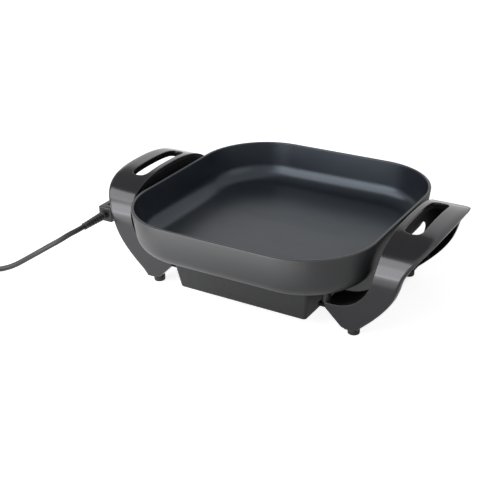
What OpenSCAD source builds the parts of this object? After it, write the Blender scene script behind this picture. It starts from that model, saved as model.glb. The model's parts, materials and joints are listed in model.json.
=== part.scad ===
// Electric skillet: a square cast pan on a base guard, two arched handles that are also its legs,
// and a plug-in temperature control with a slide lever and a mains cord.
// Millimetres. +Z is up, the counter is z = 0, the pan's centre is over the origin,
// -Y is the front and the control plugs into the -X side.

/* [Pan] */
// Outside width of the square rim
pan_w = 310; // [290:1:330]
// Radius of the rim's corners, outside
pan_corner_r = 87; // [75:1:100]
// Height of the rim above the counter
rim_z = 114; // [110:1:124]
// Height of the pan, from its underside to the rim
pan_h = 52; // [48:1:56]
// Lean of the pan's wall from upright, in degrees
pan_draft = 7; // [4:0.5:9]
// Thickness of the pan's wall
pan_wall = 3.6; // [3:0.1:5]
// Thickness of the pan's floor
pan_floor_t = 3.5; // [3:0.1:5]
// Radius between the wall and the underside, outside
pan_fillet = 22; // [16:1:26]
// Radius between the wall and the floor, inside
pan_in_fillet = 20; // [14:1:24]
// Rounding of the rim's two edges
rim_round = 1.2; // [0.6:0.1:1.4]
// Radius of the cast posts that carry the handles
post_r = 5.5; // [4.5:0.5:6.5]

/* [Handles] */
// Height of the grip's top above the rim
grip_rise = 10; // [6:1:14]
// Reach of the grip's outer edge beyond the rim
grip_reach = 66; // [60:1:72]
// Gap between the rim and the grip's inner edge
grip_gap = 10; // [8:1:14]
// Distance over the outsides of a handle's front and back legs
leg_spread = 186; // [176:2:196]
// Height of the rounded top part of the arch
arch_rise = 52; // [44:1:60]
// Squareness of the arch, where 2 is an ellipse
arch_power = 2.5; // [2:0.1:3]
// Wall thickness of the moulding
handle_wall = 3.5; // [3:0.1:4.5]
// Depth of the moulding's turned-in outer edge
handle_lip = 9.5; // [8:0.5:12]
// Depth of its turned-in inner edge at the top of the grip
skirt_depth = 22; // [16:1:26]
// Depth of its turned-in inner edge at the legs
leg_depth = 38; // [30:1:44]
// Reach of a leg's tip in under the rim
tip_reach = 52; // [46:1:54]
// Width of the finger slot
slot_w = 22; // [18:1:24]
// Length of the finger slot
slot_l = 92; // [80:1:104]
// Corner radius of the finger slot
slot_r = 9; // [6:0.5:9]
// Width of the strip between the grip's inner edge and the slot
slot_strip = 7.5; // [5:0.5:9]
// Depth of the wall round the slot
slot_depth = 8; // [6:0.5:10]
// Thickness of the wall round the slot
slot_wall = 2.5; // [2:0.1:3]
// Thickness of the shelf that each pan post stands on
shelf_t = 4; // [3:0.5:5]
// Drop from the pan's underside to the top of that shelf
shelf_drop = 28; // [26:1:30]
// Radius of the handle screws' shanks
handle_screw_r = 2.4; // [2:0.1:3]

/* [Feet] */
// Radius of a rubber foot
foot_r = 7; // [6:0.5:8]
// Height of a rubber foot
foot_h = 9.5; // [8:0.5:12]
// Distance of the feet in from the rim, across the pan
foot_in = 21; // [19:0.5:23]
// Distance of the feet in from the outside of the legs
foot_set = 14; // [13:0.5:17]
// Radius of the foot screws' shanks
foot_screw_r = 1.9; // [1.5:0.1:2.2]

/* [Base guard] */
// Width of the guard's bottom, across the pan
guard_w = 170; // [164:1:172]
// Length of the guard's bottom, front to back
guard_l = 205; // [196:1:210]
// Gap between the counter and the guard
guard_z = 13.8; // [12:0.1:18]
// Lean of the guard's sides from upright, in degrees
guard_draft = 8.5; // [5:0.5:9]
// Thickness of the guard's sheet
guard_wall = 2; // [1.5:0.1:3]
// Gap between the guard's top edge and the pan
guard_gap = 1; // [0.5:0.1:2]
// Radius of the standoffs that the guard hangs on
standoff_r = 5; // [4.5:0.1:6]
// Radius of the guard screws' shanks
guard_screw_r = 2; // [1.5:0.1:2.4]

/* [Heating element] */
// Radius of the element's ring, at the middle of the tube
element_ring_r = 76; // [70:1:78]
// Radius of the element's tube
element_tube_r = 4; // [3:0.1:4.2]
// Bend radius where the ring turns out to the terminals
element_bend_r = 10; // [9:0.5:12]
// Width of the cast ridge that holds the element
ridge_w = 16; // [14:0.5:20]
// Distance between the two terminal pins
pin_spacing = 28; // [26:1:30]
// Radius of a terminal pin
pin_r = 2.4; // [2:0.1:2.6]
// Drop from the pan's underside to the pins' axis
pin_drop = 9.5; // [9:0.1:11]

/* [Inlet] */
// Distance from the rim in to the inner face of the inlet block
inlet_in = 59; // [56:1:60]
// Thickness of the inlet block
inlet_t = 16; // [12:0.5:18]
// Length of the pins that stands out of the inlet block
pin_out = 28; // [24:1:30]
// Length of the shroud beyond the inlet block
shroud_out = 38; // [32:1:40]
// Thickness of the shroud's wall
shroud_wall = 1.2; // [1:0.1:1.4]
// Radius of the inlet screws' shanks
inlet_screw_r = 1.5; // [1.2:0.1:1.8]

/* [Control] */
// Width of the control's nose, front to back
nose_w = 48; // [46:1:52]
// Height of the control's nose
nose_h = 14.2; // [13.5:0.1:14.6]
// Length of the nose, from its face to the housing
nose_l = 110.5; // [104:0.5:118]
// Width of the housing, along the nose
case_w = 20.5; // [20:0.5:26]
// Height of the housing
case_h = 19.5; // [19:0.5:24]
// Reach of the housing to the front
case_front = 55; // [54:1:60]
// Reach of the housing to the back
case_back = 46; // [45:1:54]
// Drop of the housing's bottom below the pins' axis
case_drop = 4.2; // [4:0.1:6]
// Wall thickness of the nose and the housing
case_wall = 2; // [1.6:0.1:2.4]
// Corner radius of the housing
case_r = 2.5; // [1:0.5:4]
// Radius of the temperature probe
probe_r = 3; // [2.5:0.1:3.2]
// Length of the probe that stands out of the nose
probe_out = 58; // [50:1:60]
// Outside radius of a socket sleeve
sleeve_r = 3.6; // [3.4:0.1:4]
// Length of a socket sleeve
sleeve_l = 27; // [24:1:28]
// Radius of the control screws' shanks
case_screw_r = 1.5; // [1.2:0.1:1.6]

/* [Lever and thermostat] */
// Travel of the temperature lever
lever_travel = 45; // [35:1:45]
// Length of the lever's stem along its travel
stem_l = 8; // [6:0.5:8]
// Width of the lever's stem
stem_w = 5; // [4:0.5:6]
// Length of the lever's knob
knob_l = 14; // [12:1:18]
// Width of the lever's knob
knob_w = 10; // [8:0.5:12]
// Height of the lever's knob
knob_h = 5.5; // [4:0.5:8]
// Width of the cam bar under the lever
cam_w = 11; // [9:0.5:12]
// Length of the cam bar
cam_l = 50; // [49:0.5:51]
// Thickness of the cam bar at its thin end
cam_t = 2.2; // [2:0.1:2.4]
// Drop of the cam's ramp over the lever's travel
cam_drop = 3; // [2:0.1:3.2]
// Radius of the adjuster pin
adjuster_r = 1.5; // [1.2:0.1:1.6]

/* [Cord and plug] */
// Diameter of the cord
cord_d = 6.8; // [6:0.1:7]
// Length of the strain relief
relief_l = 42; // [30:1:50]
// Radius of the strain relief's collars
relief_r = 5.6; // [5:0.1:6.5]
// Number of grooves in the strain relief
relief_grooves = 5; // [3:1:7]
// Radius of the coil's outer turn, at the middle of the cord
coil_r = 47; // [46:1:52]
// Step between neighbouring turns and layers
coil_step = 7.4; // [7.3:0.1:8]
// Turns in each layer of the coil
coil_turns = 3.02; // [2.02:1:3.02]
// Height of the coil's lower layer, at the middle of the cord
coil_z = 4.6; // [4.6:0.1:5]
// Width of the tie round the coil
tie_w = 8; // [5:0.5:12]
// Thickness of the tie
tie_t = 0.8; // [0.6:0.1:0.8]
// Length of the plug's body
plug_l = 46; // [40:1:55]
// Length of the plug's blades
blade_l = 17; // [15:0.5:19]

/* [Hidden] */
$fn = 48;
// Clearance of a piece that slides or lifts away
clear = 0.3;
// Clearance round a screw, a pin or a bush in its hole
fit = 0.05;
// Depth by which joined shapes of one piece run into each other
sink = 1;
// Length past a face that a cut runs on
over = 5;

rim_x = pan_w / 2;
pan_z = rim_z - pan_h;
corner_c = rim_x - pan_corner_r;
floor_z = pan_z + pan_floor_t;

leg_y = leg_spread / 2;
grip_z = rim_z + grip_rise;
arch_c = grip_z - arch_rise;
arch_steps = 40;
edge_steps = 14;
shelf_z = pan_z - shelf_drop;
post_x = rim_x - tip_reach - 1.5;
post_y = leg_y - 10;
post_bore = 14;
handle_head_r = handle_screw_r + 2.1;
handle_head_h = 3;
slot_x = rim_x + grip_gap + slot_strip + slot_w / 2;
slot_cut = handle_lip + 2 * handle_wall;

foot_x = rim_x - foot_in;
foot_y = leg_y - foot_set;
foot_flange_t = 3.5;
foot_boss_r = foot_screw_r + 2.6;
foot_boss_h = 15;
foot_head_r = foot_screw_r + 1.8;
foot_head_h = 2;
foot_recess = 5;

guard_top = pan_z - guard_gap;
standoff_x = guard_w / 2 - 23;
standoff_y = guard_l / 2 - 22;
standoff_stud_r = 2.5;
standoff_stud = 6;
standoff_boss_r = standoff_r + 2;
standoff_boss = 6;
guard_head_r = guard_screw_r + 2;
guard_head_h = 2.4;
guard_screw_l = 14;

pin_z = pan_z - pin_drop;
pin_y = pin_spacing / 2;
bend_y = pin_y + element_bend_r;
bend_x = -sqrt(pow(element_ring_r + element_bend_r, 2) - pow(bend_y, 2));
bend_a = asin(bend_y / (element_ring_r + element_bend_r));
element_sides = 10;
element_rings = 48;
ridge_a = bend_a + 8;

block_in = -(rim_x - inlet_in);
block_out = block_in - inlet_t;
element_end = block_in + 2;
pin_tip = block_out - pin_out;
shroud_mouth = block_out - shroud_out;
shroud_y = nose_w / 2 + 2 * clear;
shroud_h = nose_h / 2 + 2 * clear;
ear_w = 11;
ear_l = 14;
ear_t = 2.4;
ear_z = pan_z - 5;
ear_x = block_in - 2 - ear_l / 2;
ear_y = shroud_y + shroud_wall + ear_w / 2;
ear_boss_r = inlet_screw_r + 3;
inlet_head_r = inlet_screw_r + 1.3;
inlet_head_h = 2;
inlet_screw_l = ear_t + 4;

nose_face = block_out - 2;
case_in = nose_face - nose_l;
case_out = case_in - case_w;
case_x = (case_in + case_out) / 2;
case_z = pin_z - case_drop;
case_top = case_z + case_h;
case_mid = case_z + case_h / 2;
split_z = pin_z + 2.5;
well_r = probe_r + clear;
probe_tip = nose_face + probe_out;
well_end = probe_tip + 2;
well_boss_r = probe_r + 3.2;
probe_in = 46;
probe_back = nose_face - probe_in;
sleeve_face = nose_face - case_wall - clear;
sleeve_back = sleeve_face - sleeve_l;
socket_l = 13;
screw_front = 36;
screw_rear = 12.5;
screw_side = 2.5;
screw_x = [nose_face - screw_front, case_in + screw_rear];
screw_y = nose_w / 2 - case_wall - screw_side;
screw_boss_r = case_screw_r + 1.3;
case_head_r = case_screw_r + 1.1;
case_head_h = 1.8;
screw_seat = pin_z - nose_h / 2 + case_wall;
nose_top = pin_z + nose_h / 2;

stem_y = 4.5;
slot_room = 1;
cam_front = -7.6;
// The housing reaches back at least as far as the cam bar needs
case_rear = max(case_back, cam_front + cam_l + 2 * clear + case_wall);
cam_top = case_top - case_wall - 2 * clear;
cam_slope = cam_drop / lever_travel;
adjuster_y = cam_front + 2.6;
adjuster_top = cam_top - cam_t - (adjuster_y + adjuster_r - cam_front) * cam_slope - fit;
bridge_t = 1.8;
bridge_z = cam_top - cam_t - cam_l * cam_slope - 1 - bridge_t;
adjuster_low = bridge_z - 0.8;
frame_w = case_w - 2 * case_wall - 2 * 0.5;
frame_l = 18;
frame_y = adjuster_y - frame_l / 2;
frame_leg = 1.5;
case_floor = case_z + case_wall;
leaf_w = 6;
leaf_t = 0.5;
leaf_z = adjuster_low - cam_drop - 0.3 - leaf_t;
rod_r = 1;

relief_end = -case_front - relief_l;
cord_sides = 10;
coil_sides = 6;
coil_rings = 24;
// The cord from the strain relief to the coil
cord_route = [
    [-235, -97, 58], [-235, -104, 58], [-236, -112, 57.5], [-239, -121, 56], [-243, -129, 53],
    [-249, -136, 49], [-257, -141, 44], [-266, -145, 38], [-276, -148, 31.5], [-286, -150, 25],
    [-296, -152, 18.5], [-306, -155, 12.5], [-316, -159, 8], [-327, -165, 5.5], [-339, -172, 4.6],
    [-351, -179, 4.6], [-363, -186, 4.6], [-370, -190, 4.6]
];
cord_end = cord_route[len(cord_route) - 1];
// The coil's middle lies so that the cord runs on into its outer turn
coil_start = 120;
coil_in_way = [-sin(coil_start), cos(coil_start), 0];
coil_mid = cord_end + cord_d * coil_in_way - coil_r * [cos(coil_start), sin(coil_start), 0];
coil_angle = 360 * coil_turns;
coil_tail = 45;
plug_a = coil_start + 2 * coil_angle + 90;
coil_top_z = coil_z + coil_step;
tie_a = coil_start + 180;
tie_room = 0.5;
blade_gap = 12.7;

// Points on an arc, from angle a to angle b
function arc(c, r, a, b, n) = [
    for (i = [0:n]) let (t = a + (b - a) * i / n) c + r * [cos(t), sin(t)]
];

// Corner points of a rectangle with rounded corners
function round_points(w, l, r) = concat(
    arc([w - r, l - r], r, 0, 90, 6),
    arc([r, l - r], r, 90, 180, 6),
    arc([r, r], r, 180, 270, 6),
    arc([w - r, r], r, 270, 360, 6)
);

// Points on a cubic curve from p to s, without the last
function curve(p, q, r, s) = [
    for (i = [0:edge_steps - 1]) let (t = i / edge_steps, u = 1 - t)
        u * u * u * p + 3 * u * u * t * q + 3 * u * t * t * r + t * t * t * s
];

// The outline moved in by d, for points that run anticlockwise
function inset(pts, d) = let (n = len(pts)) [
    for (i = [0:n - 1])
        let (
            p = pts[i],
            e = unit(p - pts[(i + n - 1) % n]),
            f = unit(pts[(i + 1) % n] - p),
            m = [-e[1], e[0]],
            k = [-f[1], f[0]]
        )
        p + (m + k) * d / (1 + m * k)
];

function unit(v) = v / norm(v);

// One side of the pan's wall: distance from the corner's centre, and height
function wall_foot(r, z, fillet, inset_x) = let (rise = rim_z - z - fillet + fillet * sin(pan_draft))
    [pan_corner_r - inset_x - fillet * cos(pan_draft) - rise * tan(pan_draft), z + r];

pan_out_c = wall_foot(pan_fillet, pan_z, pan_fillet, 0);
pan_in_c = wall_foot(pan_in_fillet, floor_z, pan_in_fillet, pan_wall / cos(pan_draft));
rim_in = pan_corner_r - pan_wall / cos(pan_draft);
pan_profile = concat(
    [[0, pan_z]],
    arc(pan_out_c, pan_fillet, -90, -pan_draft, 10),
    arc([pan_corner_r - rim_round, rim_z - rim_round], rim_round, 0, 90, 4),
    arc([rim_in + rim_round, rim_z - rim_round], rim_round, 90, 180, 4),
    arc(pan_in_c, pan_in_fillet, -pan_draft, -90, 10),
    [[0, floor_z]]
);

// Front view of the right handle: outer edge, grip, inner edge, tip and lower edge
leg_top = [rim_x + 35.5, pan_z + 14];
leg_in = [rim_x + 1.6, pan_z + 5];
leg_tip = [rim_x - tip_reach, pan_z - 23.7];
leg_low = [rim_x - 10.5, foot_h + 2.5];
grip_out = [rim_x + grip_reach, grip_z];
grip_in = [rim_x + grip_gap, grip_z];
handle_outline = concat(
    curve(leg_low, leg_low + [14, 13], leg_top - [4.5, 26], leg_top),
    curve(leg_top, leg_top + [3.3, 19], grip_out - [8, 14], grip_out),
    [grip_out, grip_out + [0, over], grip_in + [0, over]],
    curve(grip_in, grip_in - [1.5, 17], leg_in + [7.3, 16], leg_in),
    curve(leg_in, leg_in - [7.5, 16.5], leg_tip + [31, -3.8], leg_tip),
    [
        leg_tip,
        leg_tip + [1.3, -7],
        [foot_x - 9.5, foot_h + 1.5],
        [foot_x - 4, foot_h],
        [foot_x + 9, foot_h]
    ]
);

// Side view of a handle, moved in by side at the legs and by top at the grip
function arch_points(side, top) = concat(
    [[-(leg_y - side), -over]],
    [
        for (i = [0:arch_steps])
            let (a = 180 - 180 * i / arch_steps, c = cos(a), s = sin(a))
            [
                (leg_y - side) * sign(c) * pow(abs(c), 2 / arch_power),
                arch_c + (arch_rise - top) * pow(abs(s), 2 / arch_power)
            ]
    ],
    [[leg_y - side, -over]]
);

// The ridge under the pan with the groove that the element lies in
groove_w = element_tube_r + clear;
ridge_profile = [
    [element_ring_r - ridge_w / 2, pin_z], [element_ring_r - groove_w, pin_z],
    [element_ring_r - groove_w, pin_z + groove_w], [element_ring_r + groove_w, pin_z + groove_w],
    [element_ring_r + groove_w, pin_z], [element_ring_r + ridge_w / 2, pin_z],
    [element_ring_r + ridge_w / 2, pan_z + sink], [element_ring_r - ridge_w / 2, pan_z + sink]
];

// The element's path: a leg, a bend, the ring, a bend and a leg
function at_pin(pts) = [for (p = pts) [p[0], p[1], pin_z]];
element_path = at_pin(concat(
    [[element_end, -pin_y]],
    arc([bend_x, -bend_y], element_bend_r, 90, bend_a, 6),
    [
        for (i = [1:element_rings - 1])
            let (t = bend_a - 180 + (360 - 2 * bend_a) * i / element_rings)
            element_ring_r * [cos(t), sin(t)]
    ],
    arc([bend_x, bend_y], element_bend_r, -bend_a, -90, 6),
    [[element_end, pin_y]]
));

// Rings of points round a path, and the tube that they make
function across(way) = unit(cross(way, abs(way[2]) < 0.9 ? [0, 0, 1] : [1, 0, 0]));
function way_at(path, i) = let (n = len(path) - 1)
    unit(path[min(i + 1, n)] - path[max(i - 1, 0)]);
function tube_points(path, r, sides) = [
    for (i = [0:len(path) - 1])
        let (w = way_at(path, i), a = across(w), b = cross(w, a))
        for (k = [0:sides - 1])
            path[i] + r * (a * cos(360 * k / sides) + b * sin(360 * k / sides))
];
function tube_faces(n, sides) = concat(
    [
        for (i = [0:n - 2], k = [0:sides - 1])
            let (a = i * sides + k, b = i * sides + (k + 1) % sides)
            [a, a + sides, b + sides]
    ],
    [
        for (i = [0:n - 2], k = [0:sides - 1])
            let (a = i * sides + k, b = i * sides + (k + 1) % sides)
            [a, b + sides, b]
    ],
    [for (k = [1:sides - 2]) [0, k, k + 1]],
    [for (k = [1:sides - 2]) let (m = (n - 1) * sides) [m, m + k + 1, m + k]]
);

// The coil: in along the lower layer, up a layer in half a turn, and out along the upper one
function coil_at(t) = let (
    r = coil_r - coil_step * (t < coil_angle ? t : 2 * coil_angle - t) / 360,
    up = min(1, max(0, (t - coil_angle + 90) / 180)),
    a = coil_start + t
) [
    coil_mid[0] + r * cos(a),
    coil_mid[1] + r * sin(a),
    coil_z + coil_step * (1 - cos(180 * up)) / 2
];
coil_steps = round(2 * coil_turns * coil_rings);
coil_out_way = [cos(plug_a), sin(plug_a), 0];
coil_path = concat(
    [coil_at(0) - cord_d * coil_in_way],
    [for (i = [0:coil_steps]) coil_at(2 * coil_angle * i / coil_steps)],
    [for (i = [1:5]) coil_at(2 * coil_angle) + coil_tail * i / 5 * coil_out_way]
);
plug_root = coil_at(2 * coil_angle) + coil_tail * coil_out_way;
coil_gap = min([
    for (i = [0:coil_steps - coil_rings / 2], j = [i + coil_rings / 2:coil_steps])
        norm(coil_path[i + 1] - coil_path[j + 1])
]) - cord_d;
echo("least gap between the coil's turns", coil_gap);

module tube(path, r, sides) {
    polyhedron(tube_points(path, r, sides), tube_faces(len(path), sides));
}

module at_corners(x, y) {
    for (sx = [-1, 1], sy = [-1, 1])
        translate([sx * x, sy * y, 0]) children();
}

module along_x(from, to, r) {
    translate([min(from, to), 0, 0]) rotate([0, 90, 0]) cylinder(r = r, h = abs(to - from));
}

module block(low, high) {
    translate(low) cube(high - low);
}

// A plate with rounded upright edges
module round_block(low, high, r) {
    translate(low) linear_extrude(high[2] - low[2])
        polygon(round_points(high[0] - low[0], high[1] - low[1], r));
}

module pan() {
    color("dimgray") difference() {
        union() {
            for (q = [0:3]) rotate([0, 0, 90 * q]) {
                translate([corner_c, corner_c, 0]) rotate_extrude(angle = 90) polygon(pan_profile);
                translate([corner_c, corner_c, 0]) rotate([90, 0, 0])
                    linear_extrude(2 * corner_c) polygon(pan_profile);
            }
            block([-corner_c, -corner_c, pan_z], [corner_c, corner_c, floor_z]);
            at_corners(post_x, post_y) translate([0, 0, shelf_z])
                cylinder(r = post_r, h = pan_z - shelf_z + sink);
            at_corners(standoff_x, standoff_y) translate([0, 0, pan_z - standoff_boss])
                cylinder(r = standoff_boss_r, h = standoff_boss + sink);
            for (s = [-1, 1]) translate([ear_x, s * ear_y, ear_z + ear_t])
                cylinder(r = ear_boss_r, h = pan_z - ear_z - ear_t + sink);
            rotate_extrude(start = ridge_a - 180, angle = 360 - 2 * ridge_a) polygon(ridge_profile);
            translate([block_in, 0, pin_z]) rotate([90, 0, 90]) linear_extrude(well_end + 4 - block_in)
                polygon(concat(arc([0, 0], well_boss_r, 180, 360, 12),
                               [[well_boss_r, pin_drop + sink], [-well_boss_r, pin_drop + sink]]));
        }
        translate([0, 0, pin_z]) along_x(block_in - over, well_end, well_r);
        at_corners(post_x, post_y) translate([0, 0, shelf_z - over])
            cylinder(r = handle_screw_r + fit, h = over + post_bore);
        at_corners(standoff_x, standoff_y) translate([0, 0, pan_z - standoff_boss - over])
            cylinder(r = standoff_stud_r + fit, h = over + standoff_stud + 0.5);
        for (s = [-1, 1]) translate([ear_x, s * ear_y, ear_z])
            cylinder(r = inlet_screw_r + fit, h = inlet_screw_l + 0.5);
    }
}

module heating_element() {
    color("darkslategray")
        tube(element_path, element_tube_r, element_sides);
}

module terminal_pins() {
    color("silver") for (s = [-1, 1])
        translate([0, s * pin_y, pin_z]) along_x(pin_tip, element_end, pin_r);
}

module inlet_block() {
    color("ivory") difference() {
        block([block_out, -shroud_y + clear, pin_z - shroud_h + clear],
              [block_in, shroud_y - clear, pin_z + shroud_h - clear]);
        for (s = [-1, 1]) translate([0, s * pin_y, pin_z])
            along_x(block_out - over, block_in + over, pin_r + fit);
        translate([0, 0, pin_z]) along_x(block_out - over, block_in + over, probe_r + 1);
    }
}

module inlet_shroud() {
    color("dimgray") difference() {
        union() {
            block([shroud_mouth, -shroud_y - shroud_wall, pin_z - shroud_h - shroud_wall],
                  [block_in, shroud_y + shroud_wall, pin_z + shroud_h + shroud_wall]);
            for (s = [-1, 1]) translate([ear_x, s * (ear_y - sink / 2), ear_z + ear_t / 2])
                cube([ear_l, ear_w + sink, ear_t], center = true);
        }
        block([shroud_mouth - over, -shroud_y, pin_z - shroud_h],
              [block_in + over, shroud_y, pin_z + shroud_h]);
        for (s = [-1, 1]) translate([ear_x, s * ear_y, ear_z - over])
            cylinder(r = inlet_screw_r + clear, h = ear_t + 2 * over);
    }
}

// A screw that points up, with its head under z = 0
module screw(r, l, head_r, head_h) {
    cylinder(r = r, h = l);
    translate([0, 0, -head_h]) cylinder(r = head_r, h = head_h);
}

module inlet_screws() {
    color("silver") for (s = [-1, 1]) translate([ear_x, s * ear_y, ear_z])
        screw(inlet_screw_r, inlet_screw_l, inlet_head_r, inlet_head_h);
}

// A box with leaning sides: half sizes at the guard's bottom, and heights
module leaning_box(x, y, low, high) {
    lean = tan(guard_draft);
    x0 = x + (low - guard_z) * lean;
    x1 = x + (high - guard_z) * lean;
    y0 = y + (low - guard_z) * lean;
    y1 = y + (high - guard_z) * lean;
    intersection() {
        rotate([90, 0, 0]) linear_extrude(4 * y, center = true)
            polygon([[-x0, low], [x0, low], [x1, high], [-x1, high]]);
        rotate([90, 0, 90]) linear_extrude(4 * x, center = true)
            polygon([[-y0, low], [y0, low], [y1, high], [-y1, high]]);
    }
}

module base_guard() {
    color("darkslategray") difference() {
        leaning_box(guard_w / 2, guard_l / 2, guard_z, guard_top);
        leaning_box(guard_w / 2 - guard_wall, guard_l / 2 - guard_wall,
                    guard_z + guard_wall, guard_top + over);
        block([-guard_w, -ear_y - ear_w, pin_z - shroud_h - 3],
              [-guard_w / 4, ear_y + ear_w, pan_z + over]);
        at_corners(standoff_x, standoff_y) translate([0, 0, guard_z - over])
            cylinder(r = guard_screw_r + clear, h = guard_wall + 2 * over);
    }
}

module guard_standoffs() {
    color("silver") at_corners(standoff_x, standoff_y) difference() {
        union() {
            translate([0, 0, guard_z + guard_wall])
                cylinder(r = standoff_r, h = pan_z - standoff_boss - guard_z - guard_wall);
            translate([0, 0, pan_z - standoff_boss - sink])
                cylinder(r = standoff_stud_r, h = standoff_stud + sink);
        }
        translate([0, 0, guard_z]) cylinder(r = guard_screw_r + fit, h = guard_screw_l + 1);
    }
}

module guard_screws() {
    color("silver") at_corners(standoff_x, standoff_y) translate([0, 0, guard_z])
        screw(guard_screw_r, guard_screw_l, guard_head_r, guard_head_h);
}

// Everything inside the side view of a handle, moved in by side and top
module arch_prism(side, top) {
    translate([leg_tip[0] - over, 0, 0]) rotate([90, 0, 90])
        linear_extrude(tip_reach + grip_reach + 2 * over) polygon(arch_points(side, top));
}

module outline_prism(d) {
    rotate([90, 0, 0]) linear_extrude(leg_spread + 2 * over, center = true)
        polygon(d > 0 ? inset(handle_outline, d) : handle_outline);
}

module slot_prism(grow) {
    translate([slot_x - slot_w / 2 - grow, -slot_l / 2 - grow, grip_z - slot_cut])
        linear_extrude(slot_cut + over)
        polygon(round_points(slot_w + 2 * grow, slot_l + 2 * grow, slot_r + grow));
}

// The shelf for a pan post and the flange for a foot, on the back leg of the right handle
module leg_fittings() {
    block([post_x - post_r - 1.5, post_y - post_r - 3, shelf_z - shelf_t],
          [rim_x + 4, leg_y - handle_wall + sink, shelf_z]);
    block([foot_x - 6, foot_y - foot_r - 2, foot_h], [foot_x + 9, leg_y - sink, foot_h + foot_flange_t]);
    translate([foot_x, foot_y, foot_h + sink]) cylinder(r = foot_boss_r, h = foot_boss_h - sink);
}

module handle_right() {
    color("black") difference() {
        union() {
            difference() {
                intersection() {
                    arch_prism(0, 0);
                    outline_prism(0);
                }
                arch_prism(leg_depth, skirt_depth);
                intersection() {
                    arch_prism(handle_lip, handle_lip);
                    translate([handle_wall + clear, 0, -handle_wall - clear]) outline_prism(0);
                }
                intersection() {
                    arch_prism(handle_wall, handle_wall);
                    outline_prism(handle_wall);
                }
            }
            intersection() {
                difference() {
                    arch_prism(sink, sink);
                    arch_prism(slot_depth, slot_depth);
                }
                slot_prism(slot_wall);
            }
            for (s = [0, 1]) mirror([0, s, 0]) leg_fittings();
        }
        slot_prism(0);
        for (s = [-1, 1]) {
            translate([post_x, s * post_y, 0]) {
                translate([0, 0, shelf_z]) cylinder(r = post_r + clear, h = shelf_drop);
                cylinder(r = handle_screw_r + clear, h = shelf_z + sink);
                cylinder(r = handle_head_r + clear, h = shelf_z - shelf_t);
            }
            translate([foot_x, s * foot_y, foot_h - over])
                cylinder(r = foot_screw_r + fit, h = over + foot_boss_h - 1);
        }
    }
}

module handle_left() {
    mirror([1, 0, 0]) handle_right();
}

module handle_screws() {
    color("silver") at_corners(post_x, post_y) translate([0, 0, shelf_z - shelf_t])
        screw(handle_screw_r, shelf_t + post_bore - 2, handle_head_r, handle_head_h);
}

module foot(sx, sy) {
    color("black") translate([sx * foot_x, sy * foot_y, 0]) difference() {
        cylinder(r = foot_r, h = foot_h);
        translate([0, 0, -over]) cylinder(r = foot_head_r + clear, h = over + foot_recess);
        cylinder(r = foot_screw_r + clear, h = foot_h + over);
    }
}

module foot_screws() {
    color("silver") at_corners(foot_x, foot_y) translate([0, 0, foot_recess])
        screw(foot_screw_r, foot_h - foot_recess + foot_boss_h - 3, foot_head_r, foot_head_h);
}

// The control's nose and housing, moved in by d
module control_form(d) {
    block([case_in - case_wall - sink + d, -nose_w / 2 + d, pin_z - nose_h / 2 + d],
          [nose_face - d, nose_w / 2 - d, nose_top - d]);
    round_block([case_out + d, -case_front + d, case_z + d], [case_in - d, case_rear - d, case_top - d],
                max(case_r - d, 0.5));
}

// The control's shell with its screw bosses and holes
module control_shell() {
    difference() {
        union() {
            difference() {
                control_form(0);
                control_form(case_wall);
                block([case_in - 2 * case_wall, -nose_w / 2 + case_wall, case_floor],
                      [case_in + case_wall, nose_w / 2 - case_wall, nose_top - case_wall]);
            }
            for (x = screw_x, s = [-1, 1]) translate([x, s * screw_y, screw_seat - sink])
                cylinder(r = screw_boss_r, h = nose_h - 2 * case_wall + 2 * sink);
        }
        for (s = [-1, 1]) translate([0, s * pin_y, pin_z])
            along_x(nose_face - case_wall - sink, nose_face + over, pin_r + 2 * clear);
        translate([0, 0, pin_z]) along_x(nose_face - case_wall - sink, nose_face + over, probe_r + clear);
        translate([case_x, -case_front + case_wall + sink, case_mid]) rotate([90, 0, 0])
            cylinder(r = relief_r - 1.4, h = case_wall + sink + over);
    }
}

// Everything of the control between two heights
module control_slice(low, high) {
    block([case_out - over, -case_front - over, low], [nose_face + over, case_rear + over, high]);
}

module control_base() {
    color("black") difference() {
        intersection() {
            control_shell();
            control_slice(0, split_z);
        }
        for (x = screw_x, s = [-1, 1]) translate([x, s * screw_y, 0]) {
            cylinder(r = case_screw_r + clear, h = split_z + over);
            cylinder(r = case_head_r + clear, h = screw_seat);
        }
    }
}

module control_cover() {
    color("black") difference() {
        intersection() {
            control_shell();
            control_slice(split_z, case_top + over);
        }
        for (x = screw_x, s = [-1, 1]) translate([x, s * screw_y, split_z - over])
            cylinder(r = case_screw_r + fit, h = nose_top - 1 - split_z + over);
        block([case_x - stem_w / 2 - clear, stem_y - lever_travel - stem_l / 2 - slot_room,
               case_top - case_wall - over],
              [case_x + stem_w / 2 + clear, stem_y + stem_l / 2 + slot_room, case_top + over]);
    }
}

module control_screws() {
    color("silver") for (x = screw_x, s = [-1, 1]) translate([x, s * screw_y, screw_seat])
        screw(case_screw_r, nose_top - 1.5 - screw_seat, case_head_r, case_head_h);
}

module socket_block() {
    color("saddlebrown") difference() {
        block([sleeve_face - 1 - socket_l, -nose_w / 2 + case_wall + clear, screw_seat + clear],
              [sleeve_face - 1, nose_w / 2 - case_wall - clear, nose_top - case_wall - clear]);
        for (s = [-1, 1]) translate([0, s * pin_y, pin_z])
            along_x(sleeve_face - socket_l - over, sleeve_face + over, sleeve_r + fit);
        translate([0, 0, pin_z]) along_x(sleeve_face - socket_l - over, sleeve_face + over, probe_r + fit);
    }
}

module socket_sleeves() {
    color("gold") for (s = [-1, 1]) translate([0, s * pin_y, pin_z]) difference() {
        along_x(sleeve_back, sleeve_face, sleeve_r);
        along_x(sleeve_back + 2, sleeve_face + over, pin_r + clear);
    }
}

module probe() {
    color("silver") translate([0, 0, pin_z]) along_x(probe_back, probe_tip, probe_r);
}

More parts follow.
